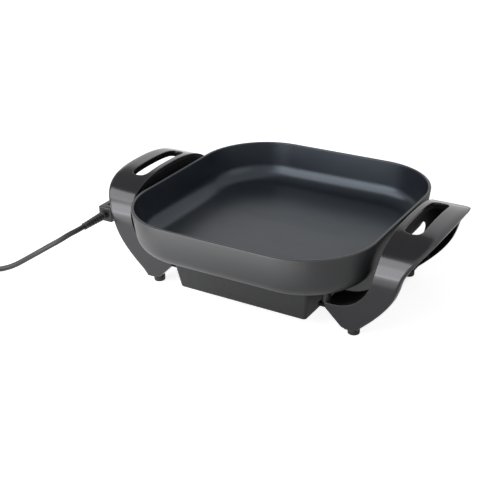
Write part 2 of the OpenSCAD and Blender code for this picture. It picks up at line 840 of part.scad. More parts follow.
module push_rod() {
    color("ivory") translate([0, 0, leaf_z + leaf_t / 2]) along_x(case_x + leaf_w / 2, probe_back, rod_r);
}

module bus_bars() {
    color("gold") for (s = [-1, 1]) translate([0, s * pin_y, pin_z])
        block([case_in + 1, -2, -0.5], [sleeve_back, 2, 0.5]);
}

module thermostat_frame() {
    color("silver") difference() {
        union() {
            block([case_x - frame_w / 2, frame_y, bridge_z],
                  [case_x + frame_w / 2, frame_y + frame_l, bridge_z + bridge_t]);
            for (s = [-1, 1]) translate([case_x + s * (frame_w - frame_leg) / 2, frame_y, 0])
                block([-frame_leg / 2, 0, case_floor], [frame_leg / 2, frame_l, bridge_z + sink]);
        }
        translate([case_x, adjuster_y, bridge_z - over])
            cylinder(r = adjuster_r + fit, h = bridge_t + 2 * over);
        translate([0, 0, leaf_z + leaf_t / 2]) along_x(case_x, case_in, rod_r + clear);
    }
}

module contact_blades() {
    color("gold") {
        translate([case_x, 0, 0]) {
            block([-leaf_w / 2, adjuster_y - 7, case_floor],
                  [leaf_w / 2, adjuster_y + 17, case_floor + leaf_t]);
            block([-leaf_w / 2, adjuster_y - 7, leaf_z],
                  [leaf_w / 2, case_rear - case_wall - 6, leaf_z + leaf_t]);
            block([-leaf_w / 2, case_rear - case_wall - 16, case_floor],
                  [leaf_w / 2, case_rear - case_wall - 6, leaf_z + leaf_t / 2]);
        }
    }
}

module cord_grip() {
    color("saddlebrown") block([case_x - 6, -case_front + case_wall + clear, case_floor],
                               [case_x + 6, -case_front + case_wall + 9, bridge_z + bridge_t]);
}

module adjuster_pin() {
    color("gold") translate([case_x, adjuster_y, adjuster_low])
        cylinder(r = adjuster_r, h = adjuster_top - adjuster_low);
}

// The bar under the lever, thicker towards the back, so that it pushes the pin down as it comes forward
module slide_cam() {
    color("white") translate([case_x - cam_w / 2, 0, 0]) rotate([90, 0, 90]) linear_extrude(cam_w)
        polygon([
            [cam_front, cam_top],
            [cam_front, cam_top - cam_t],
            [cam_front + cam_l, cam_top - cam_t - cam_l * cam_slope],
            [cam_front + cam_l, cam_top]
        ]);
}

module control_lever() {
    color("gray") {
        block([case_x - stem_w / 2, stem_y - stem_l / 2, cam_top],
              [case_x + stem_w / 2, stem_y + stem_l / 2, case_top + sink + 0.5]);
        round_block([case_x - knob_w / 2, stem_y - knob_l / 2, case_top + 0.5],
                    [case_x + knob_w / 2, stem_y + knob_l / 2, case_top + 0.5 + knob_h], 2);
    }
}

module strain_relief() {
    collar = 7;
    groove = (relief_l - 2 * collar) / (2 * relief_grooves + 1);
    color("black") translate([case_x, 0, case_mid]) rotate([90, 0, 0]) difference() {
        union() {
            translate([0, 0, case_front - case_wall])
                cylinder(r = relief_r - 1.4 - fit, h = case_wall + sink);
            translate([0, 0, case_front]) cylinder(r = relief_r, h = relief_l);
        }
        for (i = [0:relief_grooves - 1])
            translate([0, 0, case_front + collar + groove * (2 * i + 1)]) difference() {
                cylinder(r = relief_r + over, h = groove);
                cylinder(r = relief_r - 1.4, h = groove);
            }
    }
}

module cord() {
    color("black") tube(cord_route, cord_d / 2, cord_sides);
}

module cord_coil() {
    color("black") tube(coil_path, cord_d / 2, coil_sides);
}

// A flat band round all the turns of the coil
module cord_tie() {
    wide = coil_step * (coil_turns - 1) + cord_d + 2 * tie_room;
    inner = coil_r - coil_step / 2 + cord_d / 2 + tie_room - wide;
    high = coil_step + cord_d + coil_z - cord_d / 2 - tie_t + tie_room;
    color("dimgray") translate([coil_mid[0], coil_mid[1], 0]) rotate([0, 0, tie_a]) difference() {
        block([inner - tie_t, -tie_w / 2, 0], [inner + wide + tie_t, tie_w / 2, high + 2 * tie_t]);
        block([inner, -tie_w, tie_t], [inner + wide, tie_w, high + tie_t]);
    }
}

module plug_body() {
    r = coil_top_z;
    color("black") translate(plug_root) rotate([0, 90, plug_a]) rotate_extrude()
        polygon([
            [0, 0], [cord_d / 2 + 1.4, 0], [cord_d / 2 + 2.6, plug_l * 0.4], [r - 3, plug_l * 0.5],
            [r, plug_l * 0.6], [r, plug_l - 2], [r - 2, plug_l], [0, plug_l]
        ]);
}

module plug_blades() {
    color("silver") translate(plug_root) rotate([0, 0, plug_a]) for (s = [-1, 1])
        translate([plug_l, s * blade_gap / 2, 0]) block([0, -0.75, -3.2], [blade_l, 0.75, 3.2]);
}

pan();
heating_element();
terminal_pins();
inlet_block();
inlet_shroud();
inlet_screws();
base_guard();
guard_standoffs();
guard_screws();
handle_left();
handle_right();
handle_screws();
foot(-1, -1);  // foot_front_left
foot(1, -1);  // foot_front_right
foot(-1, 1);  // foot_back_left
foot(1, 1);  // foot_back_right
foot_screws();
control_base();
control_cover();
control_screws();
socket_block();
socket_sleeves();
probe();
push_rod();
bus_bars();
thermostat_frame();
contact_blades();
cord_grip();
adjuster_pin();
slide_cam();
control_lever();
strain_relief();
cord();
cord_coil();
cord_tie();
plug_body();
plug_blades();
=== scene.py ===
import json
import math

import bpy
from mathutils import Matrix, Vector


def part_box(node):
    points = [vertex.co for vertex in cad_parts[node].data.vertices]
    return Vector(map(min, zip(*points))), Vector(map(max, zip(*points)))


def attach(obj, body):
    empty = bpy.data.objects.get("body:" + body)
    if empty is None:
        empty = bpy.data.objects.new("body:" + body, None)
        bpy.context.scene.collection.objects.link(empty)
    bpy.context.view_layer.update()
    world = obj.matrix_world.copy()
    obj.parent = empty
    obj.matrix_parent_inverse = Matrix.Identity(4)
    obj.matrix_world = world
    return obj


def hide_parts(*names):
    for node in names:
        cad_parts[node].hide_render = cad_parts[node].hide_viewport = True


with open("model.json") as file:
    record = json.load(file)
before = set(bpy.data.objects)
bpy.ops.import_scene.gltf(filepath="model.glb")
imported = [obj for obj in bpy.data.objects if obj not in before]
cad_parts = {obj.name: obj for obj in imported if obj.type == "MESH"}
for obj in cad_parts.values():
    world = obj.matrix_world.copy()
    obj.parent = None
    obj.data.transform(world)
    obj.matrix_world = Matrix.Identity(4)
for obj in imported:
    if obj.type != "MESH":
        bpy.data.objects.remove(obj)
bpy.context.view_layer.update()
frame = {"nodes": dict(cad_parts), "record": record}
scene = bpy.context.scene
scene.view_settings.view_transform = "Standard"
tiny = 1e-5


# Camera

cameraView = dict(azimuth=32.33, elevation=25.87, roll=-1.86, lens=73.125, sensor=36,
                  eye=(0.5312, -0.9391, 0.5757))


def addCamera():
    around, above, roll = (math.radians(cameraView[k]) for k in ("azimuth", "elevation", "roll"))
    tilt = Matrix.Rotation(math.pi / 2 - above, 4, "X") @ Matrix.Rotation(roll, 4, "Z")
    bpy.ops.object.camera_add()
    camera = bpy.context.object
    camera.matrix_world = Matrix.Translation(cameraView["eye"]) @ Matrix.Rotation(around, 4, "Z") @ tilt
    camera.data.sensor_width = cameraView["sensor"]
    camera.data.lens = cameraView["lens"]
    scene.camera = camera


addCamera()
print("camera set")


# Modelling helpers

def addObject(name, data):
    obj = bpy.data.objects.new(name, data)
    scene.collection.objects.link(obj)
    return obj


def soloSelect(obj):
    if bpy.context.object and bpy.context.object.mode != "OBJECT":
        bpy.ops.object.mode_set(mode="OBJECT")
    bpy.ops.object.select_all(action="DESELECT")
    obj.select_set(True)
    bpy.context.view_layer.objects.active = obj


def editAll(obj):
    soloSelect(obj)
    scene.tool_settings.mesh_select_mode = (True, False, False)
    bpy.ops.object.mode_set(mode="EDIT")
    bpy.ops.mesh.select_all(action="SELECT")


def editPicked(obj, kind, test):
    # goes into edit mode with only the edges or faces that pass the test selected
    editAll(obj)
    bpy.ops.mesh.select_all(action="DESELECT")
    leaveEdit()
    scene.tool_settings.mesh_select_mode = (False, kind == "EDGE", kind == "FACE")
    for part in obj.data.edges if kind == "EDGE" else obj.data.polygons:
        part.select = bool(test(part))
    bpy.ops.object.mode_set(mode="EDIT")


def leaveEdit():
    bpy.ops.object.mode_set(mode="OBJECT")


def bevelled(obj, test, soft, steps):
    editPicked(obj, "EDGE", test)
    bpy.ops.mesh.bevel(offset=soft, segments=steps, affect="EDGES")
    leaveEdit()


def withoutFaces(obj, test):
    editPicked(obj, "FACE", test)
    bpy.ops.mesh.delete(type="FACE")
    leaveEdit()


def edgeEnds(obj, edge):
    return [obj.data.vertices[i].co for i in edge.vertices]


def runsAlong(obj, axis):
    # a test for edges that don't stay level on an axis
    return lambda edge: abs(edgeEnds(obj, edge)[0][axis] - edgeEnds(obj, edge)[1][axis]) > tiny


def liesAt(obj, z):
    return lambda edge: all(abs(p.z - z) < tiny for p in edgeEnds(obj, edge))


def looksUp(face):
    return face.normal.z > 0.9


def applied(obj, kind, **values):
    soloSelect(obj)
    modifier = obj.modifiers.new(kind.title(), kind)
    for name, value in values.items():
        setattr(modifier, name, value)
    bpy.ops.object.modifier_apply(modifier=modifier.name)


def softShade(obj, angle=35):
    soloSelect(obj)
    bpy.ops.object.shade_smooth_by_angle(angle=math.radians(angle))


def mergeAndFace(obj):
    editAll(obj)
    bpy.ops.mesh.remove_doubles(threshold=tiny)
    bpy.ops.mesh.normals_make_consistent(inside=False)
    leaveEdit()


def settled(obj):
    soloSelect(obj)
    bpy.ops.object.transform_apply()
    return obj


def joined(objs):
    soloSelect(objs[0])
    for obj in objs:
        obj.select_set(True)
    bpy.ops.object.join()
    return objs[0]


def copied(obj, move=(0, 0, 0)):
    soloSelect(obj)
    bpy.ops.object.duplicate()
    copy = bpy.context.object
    copy.location = move
    return settled(copy)


def combined(obj, other, way):
    applied(obj, "BOOLEAN", object=other, operation=way, solver="EXACT")
    bpy.data.objects.remove(other)
    return obj


def drawnLine(points):
    # one vertex, extruded from point to point
    bpy.ops.mesh.primitive_plane_add(size=0.01)
    obj = bpy.context.object
    editAll(obj)
    bpy.ops.mesh.merge(type="CENTER")
    bpy.ops.transform.translate(value=points[0])
    for start, end in zip(points, points[1:]):
        step = Vector(end) - Vector(start)
        bpy.ops.mesh.extrude_vertices_move(TRANSFORM_OT_translate={"value": step})
    leaveEdit()
    return obj


def arcPoints(middle, radius, start, end, steps):
    angles = [math.radians(start + (end - start) * i / steps) for i in range(steps + 1)]
    return [(middle[0] + radius * math.cos(a), middle[1] + radius * math.sin(a)) for a in angles]


def spun(profile, steps=48):
    # profile: radius and height, turned round the Z axis
    obj = drawnLine([(r, 0, z) for r, z in profile])
    editAll(obj)
    bpy.ops.mesh.spin(steps=steps, angle=2 * math.pi, center=(0, 0, 0), axis=(0, 0, 1))
    leaveEdit()
    mergeAndFace(obj)
    return obj


def turnedTo(obj, way, place):
    obj.matrix_world = Matrix.Translation(place) @ Vector(way).to_track_quat("Z", "Y").to_matrix().to_4x4()
    return settled(obj)


def plainBox(low, high):
    low, high = Vector(low), Vector(high)
    bpy.ops.mesh.primitive_cube_add(size=1, location=(low + high) / 2, scale=high - low)
    return settled(bpy.context.object)


def softBox(low, high, soft, steps=3):
    obj = plainBox(low, high)
    applied(obj, "BEVEL", width=soft, segments=steps, limit_method="ANGLE")
    return obj


def peg(x, y, radius, low, high, soft=0.0004):
    profile = [(0, low), (radius - soft, low), (radius, low + soft), (radius, high), (0, high)]
    obj = spun(profile, 32)
    obj.location = (x, y, 0)
    return settled(obj)


def fourCorners(spot):
    return [(sx * spot[0], sy * spot[1]) for sx in (-1, 1) for sy in (-1, 1)]


def keepPiece(obj, name, body, slotName, *nodes, materials=None, shade=35):
    # names a finished piece, gives it its finish and shading, puts it on its body and hides the CAD nodes it
    # stands for
    obj.name = obj.data.name = name
    materials = materials or [slotFinish(slotName)]
    if list(obj.data.materials) != materials:
        obj.data.materials.clear()
        for material in materials:
            obj.data.materials.append(material)
    if shade:
        softShade(obj, shade)
    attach(obj, body)
    if nodes:
        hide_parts(*nodes)
    return obj


# Shader groups that the finishes share

def feed(tree, node, values):
    # sets inputs, or links them to the output of another node
    for name, value in values.items():
        if isinstance(value, bpy.types.NodeSocket):
            tree.links.new(value, node.inputs[name])
        else:
            node.inputs[name].default_value = value


def addNode(tree, kind, values=None, **settings):
    node = tree.nodes.new("ShaderNode" + kind)
    for name, value in settings.items():
        setattr(node, name, value)
    feed(tree, node, values or {})
    return node


def mathOut(tree, operation, *values, kind="Math"):
    return addNode(tree, kind, dict(enumerate(values)), operation=operation).outputs[0]


def ramped(tree, value, low, high, start=0, end=1, way="LINEAR"):
    values = {"Value": value, "From Min": low, "From Max": high, "To Min": start, "To Max": end}
    return addNode(tree, "MapRange", values, interpolation_type=way).outputs[0]


def newGroup(name, inputs, outputs):
    tree = bpy.data.node_groups.new(name, "ShaderNodeTree")
    for label, value in inputs.items():
        socket = tree.interface.new_socket(label, in_out="INPUT", socket_type="NodeSocketFloat")
        socket.default_value = value
    for label in outputs:
        tree.interface.new_socket(label, in_out="OUTPUT", socket_type="NodeSocketFloat")
    place = addNode(tree, "TexCoord").outputs["Object"]
    return tree, place, tree.nodes.new("NodeGroupInput").outputs, tree.nodes.new("NodeGroupOutput")


def surfaceGrain():
    # fine grain of a sprayed coat or a mould, with a slow drift over it
    tree, place, given, end = newGroup("surfaceGrain", {"Grain": 900, "Drift": 14}, ["Height", "Drift"])
    grain, drift = given["Grain"], given["Drift"]
    fine = addNode(tree, "TexNoise", {"Vector": place, "Scale": grain, "Detail": 3, "Roughness": 0.6})
    slow = addNode(tree, "TexNoise", {"Vector": place, "Scale": drift, "Detail": 2, "Roughness": 0.5})
    cells = addNode(tree, "TexVoronoi", {"Vector": place, "Scale": grain}, feature="SMOOTH_F1")
    height = mathOut(tree, "ADD", fine.outputs["Fac"], cells.outputs["Distance"])
    feed(tree, end, {"Height": height, "Drift": slow.outputs["Fac"]})
    return tree


def wipeMarks():
    # faint smears left by wiping, as a mask
    tree, place, given, end = newGroup("wipeMarks", {"Scale": 9, "Stretch": 5}, ["Mask"])
    stretch = addNode(tree, "CombineXYZ", {"X": 1, "Y": given["Stretch"], "Z": 1}).outputs[0]
    longer = mathOut(tree, "MULTIPLY", place, stretch, kind="VectorMath")
    smear = addNode(tree, "TexNoise", {"Vector": longer, "Scale": given["Scale"], "Detail": 4,
                                       "Roughness": 0.65, "Distortion": 0.6})
    feed(tree, end, {"Mask": ramped(tree, smear.outputs["Fac"], 0.48, 0.78)})
    return tree


def edgeRub():
    # where sharp edges have been rubbed, broken up by noise
    tree, place, given, end = newGroup("edgeRub", {"From": 0.53, "To": 0.62, "Breaks": 120}, ["Mask"])
    edges = addNode(tree, "NewGeometry").outputs["Pointiness"]
    sharp = ramped(tree, edges, given["From"], given["To"])
    breaks = addNode(tree, "TexNoise", {"Vector": place, "Scale": given["Breaks"], "Detail": 3})
    feed(tree, end, {"Mask": mathOut(tree, "MULTIPLY", sharp, breaks.outputs["Fac"])})
    return tree


groups = {"grain": surfaceGrain(), "wipe": wipeMarks(), "rub": edgeRub()}


# Finishes

def mixColour(tree, factor, first, second):
    return addNode(tree, "Mix", {"Factor": factor, 6: first, 7: second}, data_type="RGBA").outputs[2]


def groupNode(tree, name, **values):
    return addNode(tree, "Group", values, node_tree=groups[name])


def newMaterial(name):
    material = bpy.data.materials.new(name)
    material.use_nodes = True
    return material, material.node_tree, material.node_tree.nodes["Principled BSDF"]


def finishOf(name, look):
    look = {"rubColour": look["shade"], **plainLook, **look}
    material, tree, shader = newMaterial(name)
    grain = groupNode(tree, "grain", Grain=look["grain"], Drift=look["drift"])
    wipe = groupNode(tree, "wipe").outputs["Mask"]
    colour = mixColour(tree, grain.outputs["Drift"], (*look["colour"], 1), (*look["shade"], 1))
    rubbed = mathOut(tree, "MULTIPLY", groupNode(tree, "rub").outputs["Mask"], look["rub"])
    bump = addNode(tree, "Bump", {"Height": grain.outputs["Height"], "Strength": look["bump"],
                                  "Distance": look["bumpHigh"]})
    feed(tree, shader, {
        "Base Color": mixColour(tree, rubbed, colour, (*look["rubColour"], 1)),
        "Metallic": look["metal"],
        "IOR": look["ior"],
        "Specular IOR Level": look["specular"],
        "Specular Tint": (*look["tint"], 1),
        "Coat Weight": look["coat"],
        "Coat Roughness": look["coatRough"],
        "Roughness": ramped(tree, wipe, 0, 1, look["rough"], look["smeared"]),
        "Normal": bump.outputs[0],
    })
    return material


plainLook = dict(metal=0, ior=1.5, specular=0.5, tint=(1, 1, 1), coat=0, coatRough=0.1, rub=0.3, grain=1500,
                 drift=14, bump=0.15, bumpHigh=0.0002)
looks = dict(
    coatedCast=dict(colour=(0.018, 0.0187, 0.0203), shade=(0.023, 0.0238, 0.0254),
                    rubColour=(0.16, 0.165, 0.17), rub=0.5, rough=0.38, smeared=0.46, specular=0.57,
                    grain=1400, drift=9, bump=0.22),
    nonStick=dict(colour=(0.0102, 0.0124, 0.0165), shade=(0.0122, 0.0148, 0.0196),
                  rubColour=(0.06, 0.065, 0.07), rough=0.28, smeared=0.33, specular=0.54,
                  tint=(0.76, 0.87, 1), grain=1000, drift=11, bump=0.2),
    blackMoulding=dict(colour=(0.010, 0.010, 0.011), shade=(0.014, 0.014, 0.015),
                       rubColour=(0.05, 0.05, 0.052), rub=0.25, rough=0.15, smeared=0.21, coat=0.32,
                       tint=(0.93, 0.93, 1), grain=2200, drift=16, bump=0.03),
    # the black moulding again, darker and barely reflecting: painted shade for the handles' insides
    mouldingInside=dict(colour=(0.006, 0.006, 0.0065), shade=(0.008, 0.008, 0.0085), rub=0, rough=0.5,
                        smeared=0.58, specular=0.06),
    guardMoulding=dict(colour=(0.019, 0.0195, 0.020), shade=(0.024, 0.0245, 0.025),
                       rubColour=(0.09, 0.09, 0.09), rough=0.5, smeared=0.58, specular=0.3,
                       grain=1100, drift=12, bump=0.3),
    elementSheath=dict(colour=(0.10, 0.095, 0.09), shade=(0.15, 0.13, 0.11), metal=1, rough=0.5, smeared=0.62,
                       grain=900, bump=0.25),
    platedSteel=dict(colour=(0.60, 0.60, 0.61), shade=(0.52, 0.52, 0.53), metal=1, rough=0.24, smeared=0.38,
                     grain=1600, bump=0.1),
    porcelain=dict(colour=(0.66, 0.62, 0.54), shade=(0.60, 0.55, 0.47), rough=0.32, smeared=0.42, grain=800),
    shroudSteel=dict(colour=(0.12, 0.12, 0.125), shade=(0.17, 0.17, 0.175), metal=1, rough=0.4, smeared=0.5,
                     grain=1300),
    footRubber=dict(colour=(0.012, 0.012, 0.012), shade=(0.018, 0.018, 0.018), rubColour=(0.05, 0.05, 0.05),
                    rough=0.6, smeared=0.72, grain=1300, bump=0.35),
    controlMoulding=dict(colour=(0.013, 0.013, 0.014), shade=(0.018, 0.018, 0.019),
                         rubColour=(0.07, 0.07, 0.072), rub=0.4, rough=0.22, smeared=0.26,
                         bump=0.1),
    leverMoulding=dict(colour=(0.09, 0.09, 0.094), shade=(0.11, 0.11, 0.114), rubColour=(0.2, 0.2, 0.2),
                       rub=0.4, rough=0.36, smeared=0.46),
    insulator=dict(colour=(0.10, 0.06, 0.035), shade=(0.14, 0.085, 0.05), rough=0.45, smeared=0.55,
                   grain=1000, bump=0.25),
    contactBrass=dict(colour=(0.60, 0.43, 0.17), shade=(0.50, 0.34, 0.13), metal=1, rough=0.28, smeared=0.42,
                      grain=1400, bump=0.1),
    cordRubber=dict(colour=(0.013, 0.013, 0.013), shade=(0.02, 0.02, 0.02), rubColour=(0.05, 0.05, 0.05),
                    rough=0.44, smeared=0.56, bump=0.22),
    tieWrap=dict(colour=(0.035, 0.035, 0.036), shade=(0.05, 0.05, 0.051), rough=0.4, smeared=0.5, grain=1200,
                 bump=0.25),
)
finishes = {name: finishOf(name, look) for name, look in looks.items()}


def slotFinish(slotName):
    # coated_cast has the finish coatedCast
    first, *rest = slotName.split("_")
    return finishes[first + "".join(word.title() for word in rest)]


print("finishes made:", len(finishes))


# Cord with its coil, strain relief, tie and plug

cordForm = dict(
    diameter=0.0068,
    route=[
        (-0.235, -0.097, 0.058), (-0.235, -0.104, 0.058), (-0.236, -0.112, 0.0575), (-0.239, -0.121, 0.056),
        (-0.243, -0.129, 0.053), (-0.249, -0.136, 0.049), (-0.257, -0.141, 0.044), (-0.266, -0.145, 0.038),
        (-0.276, -0.148, 0.0315), (-0.286, -0.150, 0.025), (-0.296, -0.152, 0.0185), (-0.306, -0.155, 0.0125),
        (-0.316, -0.159, 0.008), (-0.327, -0.165, 0.0055), (-0.339, -0.172, 0.0046), (-0.351, -0.179, 0.0046),
        (-0.363, -0.186, 0.0046), (-0.370, -0.190, 0.0046),
    ],
    coilStart=120, coilRadius=0.047, coilStep=0.0074, coilTurns=3.02, pointsPerTurn=24, tail=0.045,
)
coilSweep = 360 * cordForm["coilTurns"]
coilEntry = math.radians(cordForm["coilStart"])
coilWay = Vector((-math.sin(coilEntry), math.cos(coilEntry), 0))
coilArm = Vector((math.cos(coilEntry), math.sin(coilEntry), 0))
coilMiddle = Vector(cordForm["route"][-1]) + cordForm["diameter"] * coilWay - cordForm["coilRadius"] * coilArm
plugWay = Matrix.Rotation(math.radians(2 * coilSweep), 3, "Z") @ coilWay


def coilPoint(turn):
    # in along the lower layer, up a layer in half a turn, out along the upper one
    inward = min(turn, 2 * coilSweep - turn)
    radius = cordForm["coilRadius"] - cordForm["coilStep"] * inward / 360
    rise = min(1, max(0, (turn - coilSweep + 90) / 180))
    angle = coilEntry + math.radians(turn)
    lift = cordForm["coilStep"] * (1 - math.cos(math.pi * rise)) / 2
    return coilMiddle + Vector((radius * math.cos(angle), radius * math.sin(angle), lift))


def cordPoints():
    count = round(2 * cordForm["coilTurns"] * cordForm["pointsPerTurn"])
    coil = [coilPoint(2 * coilSweep * i / count) for i in range(count + 1)]
    tail = [coil[-1] + plugWay * cordForm["tail"] * i / 3 for i in (1, 2, 3)]
    return [Vector(p) for p in cordForm["route"]] + coil + tail


def makeCord(points):
    curve = bpy.data.curves.new("cord_run", "CURVE")
    curve.dimensions = "3D"
    curve.bevel_depth = cordForm["diameter"] / 2
    curve.bevel_resolution = 5
    curve.resolution_u = 4
    curve.use_fill_caps = True
    spline = curve.splines.new("BEZIER")
    spline.bezier_points.add(len(points) - 1)
    for knot, point in zip(spline.bezier_points, points):
        knot.co = point
        knot.handle_left_type = knot.handle_right_type = "AUTO"
    obj = addObject("cord_run", curve)
    return keepPiece(obj, "cord_run", "control", "cord_rubber", "cord", "cord_coil", shade=0)


reliefForm = dict(length=0.042, wide=0.0056, narrow=0.0046, groove=0.0013, collar=0.007, ribs=6, soft=0.0003)


def makeStrainRelief(length, wide, narrow, groove, collar, ribs, soft):
    # a tapered sleeve with ribs, wider at the housing
    low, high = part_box("strain_relief")
    root = high.y - low.y - length
    pitch = (length - collar * 1.6) / ribs
    profile = [(0, 0), (wide - groove, 0), (wide - groove, root), (wide - soft, root), (wide, root + soft)]
    profile += [(wide, root + collar - soft), (wide - soft, root + collar)]
    for i in range(ribs):
        at = root + collar + pitch * i
        slim = wide + (narrow - wide) * (i + 1) / ribs
        profile += [(slim - groove, at + soft), (slim - groove, at + pitch * 0.4)]
        profile += [(slim - soft, at + pitch * 0.45), (slim, at + pitch * 0.5)]
        profile += [(slim, at + pitch * 0.93), (slim - soft, at + pitch)]
    tip = root + length
    profile += [(narrow, tip - soft * 2), (narrow - soft * 2, tip), (0, tip)]
    obj = turnedTo(spun(profile, 40), (0, -1, 0), ((low.x + high.x) / 2, high.y, (low.z + high.z) / 2))
    keepPiece(obj, "cord_relief", "control", "cord_rubber", "strain_relief")


plugForm = dict(length=0.046, neck=0.0048, neckSoft=0.0008, waist=0.006, grip=0.012, shoulder=0.003,
                soft=0.002, ribs=4, ribDeep=0.0009, grooves=5, grooveDeep=0.001, grooveWide=0.0017,
                grooveSlope=0.0004)


def makePlug(root, length, neck, neckSoft, waist, grip, shoulder, soft, ribs, ribDeep, grooves, grooveDeep,
             grooveWide, grooveSlope):
    profile = [(0, 0), (neck - neckSoft, 0), (neck, neckSoft)]
    for i in range(grooves):
        at = length * (0.06 + 0.065 * i)
        thick = neck + (waist - neck) * i / (grooves - 1)
        profile += [(thick, at), (thick - grooveDeep, at + grooveSlope)]
        profile += [(thick - grooveDeep, at + grooveWide - grooveSlope), (thick, at + grooveWide)]
    profile += [(waist, length * 0.4), (grip - shoulder, length * 0.5), (grip, length * 0.58)]
    pitch = length * 0.3 / ribs
    for i in range(ribs):
        at = length * 0.6 + pitch * i
        profile += [(grip, at), (grip - ribDeep, at + pitch * 0.15), (grip - ribDeep, at + pitch * 0.4)]
        profile += [(grip, at + pitch * 0.55)]
    profile += arcPoints((grip - soft, length - soft), soft, 0, 90, 4) + [(0, length)]
    obj = turnedTo(spun(profile, 48), plugWay, root)
    return keepPiece(obj, "plug_grip", "control", "cord_rubber", "plug_body")


bladeForm = dict(length=0.017, width=0.0064, thick=0.0015, apart=0.0127, hole=0.0016, holeAt=0.0125,
                 holeDeep=0.004, soft=0.0004)


def makeBlades(root, length, width, thick, apart, hole, holeAt, holeDeep, soft):
    blades = []
    for y in (-apart / 2, apart / 2):
        blade = softBox((0, y - thick / 2, -width / 2), (length, y + thick / 2, width / 2), soft)
        pin = turnedTo(peg(0, 0, hole, -holeDeep, holeDeep), (0, 1, 0), (holeAt, y, 0))
        blades.append(combined(blade, pin, "DIFFERENCE"))
    obj = joined(blades)
    obj.matrix_world = Matrix.Translation(root) @ plugWay.to_track_quat("X", "Z").to_matrix().to_4x4()
    settled(obj)
    return keepPiece(obj, "plug_prongs", "control", "plated_steel", "plug_blades")


tieForm = dict(soft=0.0003, sharp=30, flat=1)


def makeTie():
    # the CAD band with its edges rounded
    obj = addObject("coil_tie", frame["nodes"]["cord_tie"].data.copy())
    editAll(obj)
    bpy.ops.mesh.remove_doubles(threshold=tiny)
    bpy.ops.mesh.dissolve_limited(angle_limit=math.radians(tieForm["flat"]))
    leaveEdit()
    applied(obj, "BEVEL", width=tieForm["soft"], segments=2, limit_method="ANGLE",
            angle_limit=math.radians(tieForm["sharp"]), use_clamp_overlap=False)
    return keepPiece(obj, "coil_tie", "control", "tie_wrap", "cord_tie")


cordLine = cordPoints()
cordRun = makeCord(cordLine)
makeStrainRelief(**reliefForm)
plugGrip = makePlug(cordLine[-1], **plugForm)
plugProngs = makeBlades(cordLine[-1] + plugWay * plugForm["length"], **bladeForm)
coilTie = makeTie()


# Pan

panForm = dict(corner=0.087, underZ=0.062, floorZ=0.0655, draft=7, wall=0.0036, outFillet=0.022,
               inFillet=0.022, rimRound=0.0012, cornerSteps=28)


def panProfile(rimZ):
    # radius from the corner's centre, and height
    form = panForm
    corner, draft, rim = form["corner"], form["draft"], form["rimRound"]
    lean = math.radians(draft)
    inset = form["wall"] / math.cos(lean)

    def fillet(inset, bottom, radius, start, end):
        rise = rimZ - bottom - radius + radius * math.sin(lean)
        middle = corner - inset - radius * math.cos(lean) - rise * math.tan(lean)
        return arcPoints((middle, bottom + radius), radius, start, end, 10)

    outside = fillet(0, form["underZ"], form["outFillet"], -90, -draft)
    rimOut = arcPoints((corner - rim, rimZ - rim), rim, 0, 90, 4)
    rimIn = arcPoints((corner - inset + rim, rimZ - rim), rim, 90, 180, 4)
    inside = fillet(inset, form["floorZ"], form["inFillet"], -draft, -90)
    return outside + rimOut + rimIn + inside


def rimDistance(x, y, half):
    # how far a point lies in from the rim's outside
    dx = max(abs(x) - half + panForm["corner"], 0)
    dy = max(abs(y) - half + panForm["corner"], 0)
    return panForm["corner"] - math.hypot(dx, dy)


underForm = dict(post=0.0055, postAt=(0.1015, 0.083), boss=0.007, bossAt=(0.062, 0.0805), bossDeep=0.006,
                 ear=0.0045, earAt=(0.105, 0.0313), earDeep=0.0026, ring=0.076, ringWide=0.016,
                 ringDeep=0.0095, well=0.0062, wellAt=(-0.096, -0.050), overlap=0.0015)


def panUnderside(postLow):
    # posts for the handles, bosses for the guard and ears for the inlet
    form, under = underForm, panForm["underZ"]
    inPan = under + form["overlap"]
    pegs = [peg(x, y, form["post"], postLow, inPan) for x, y in fourCorners(form["postAt"])]
    pegs += [peg(x, y, form["boss"], under - form["bossDeep"], inPan) for x, y in fourCorners(form["bossAt"])]
    x, y = form["earAt"]
    pegs += [peg(-x, side * y, form["ear"], under - form["earDeep"], inPan) for side in (-1, 1)]
    return joined(pegs)


def elementRidge():
    form = underForm
    low, high = panForm["underZ"] - form["ringDeep"], panForm["underZ"] + form["overlap"]
    inner, outer = form["ring"] - form["ringWide"] / 2, form["ring"] + form["ringWide"] / 2
    ring = spun([(inner, low), (outer, low), (outer, high), (inner, high), (inner, low)], 72)
    (x0, x1), half = form["wellAt"], form["well"]
    well = softBox((x0, -half, low - half), (x1, half, high), half * 0.6, 4)
    return combined(ring, well, "UNION")


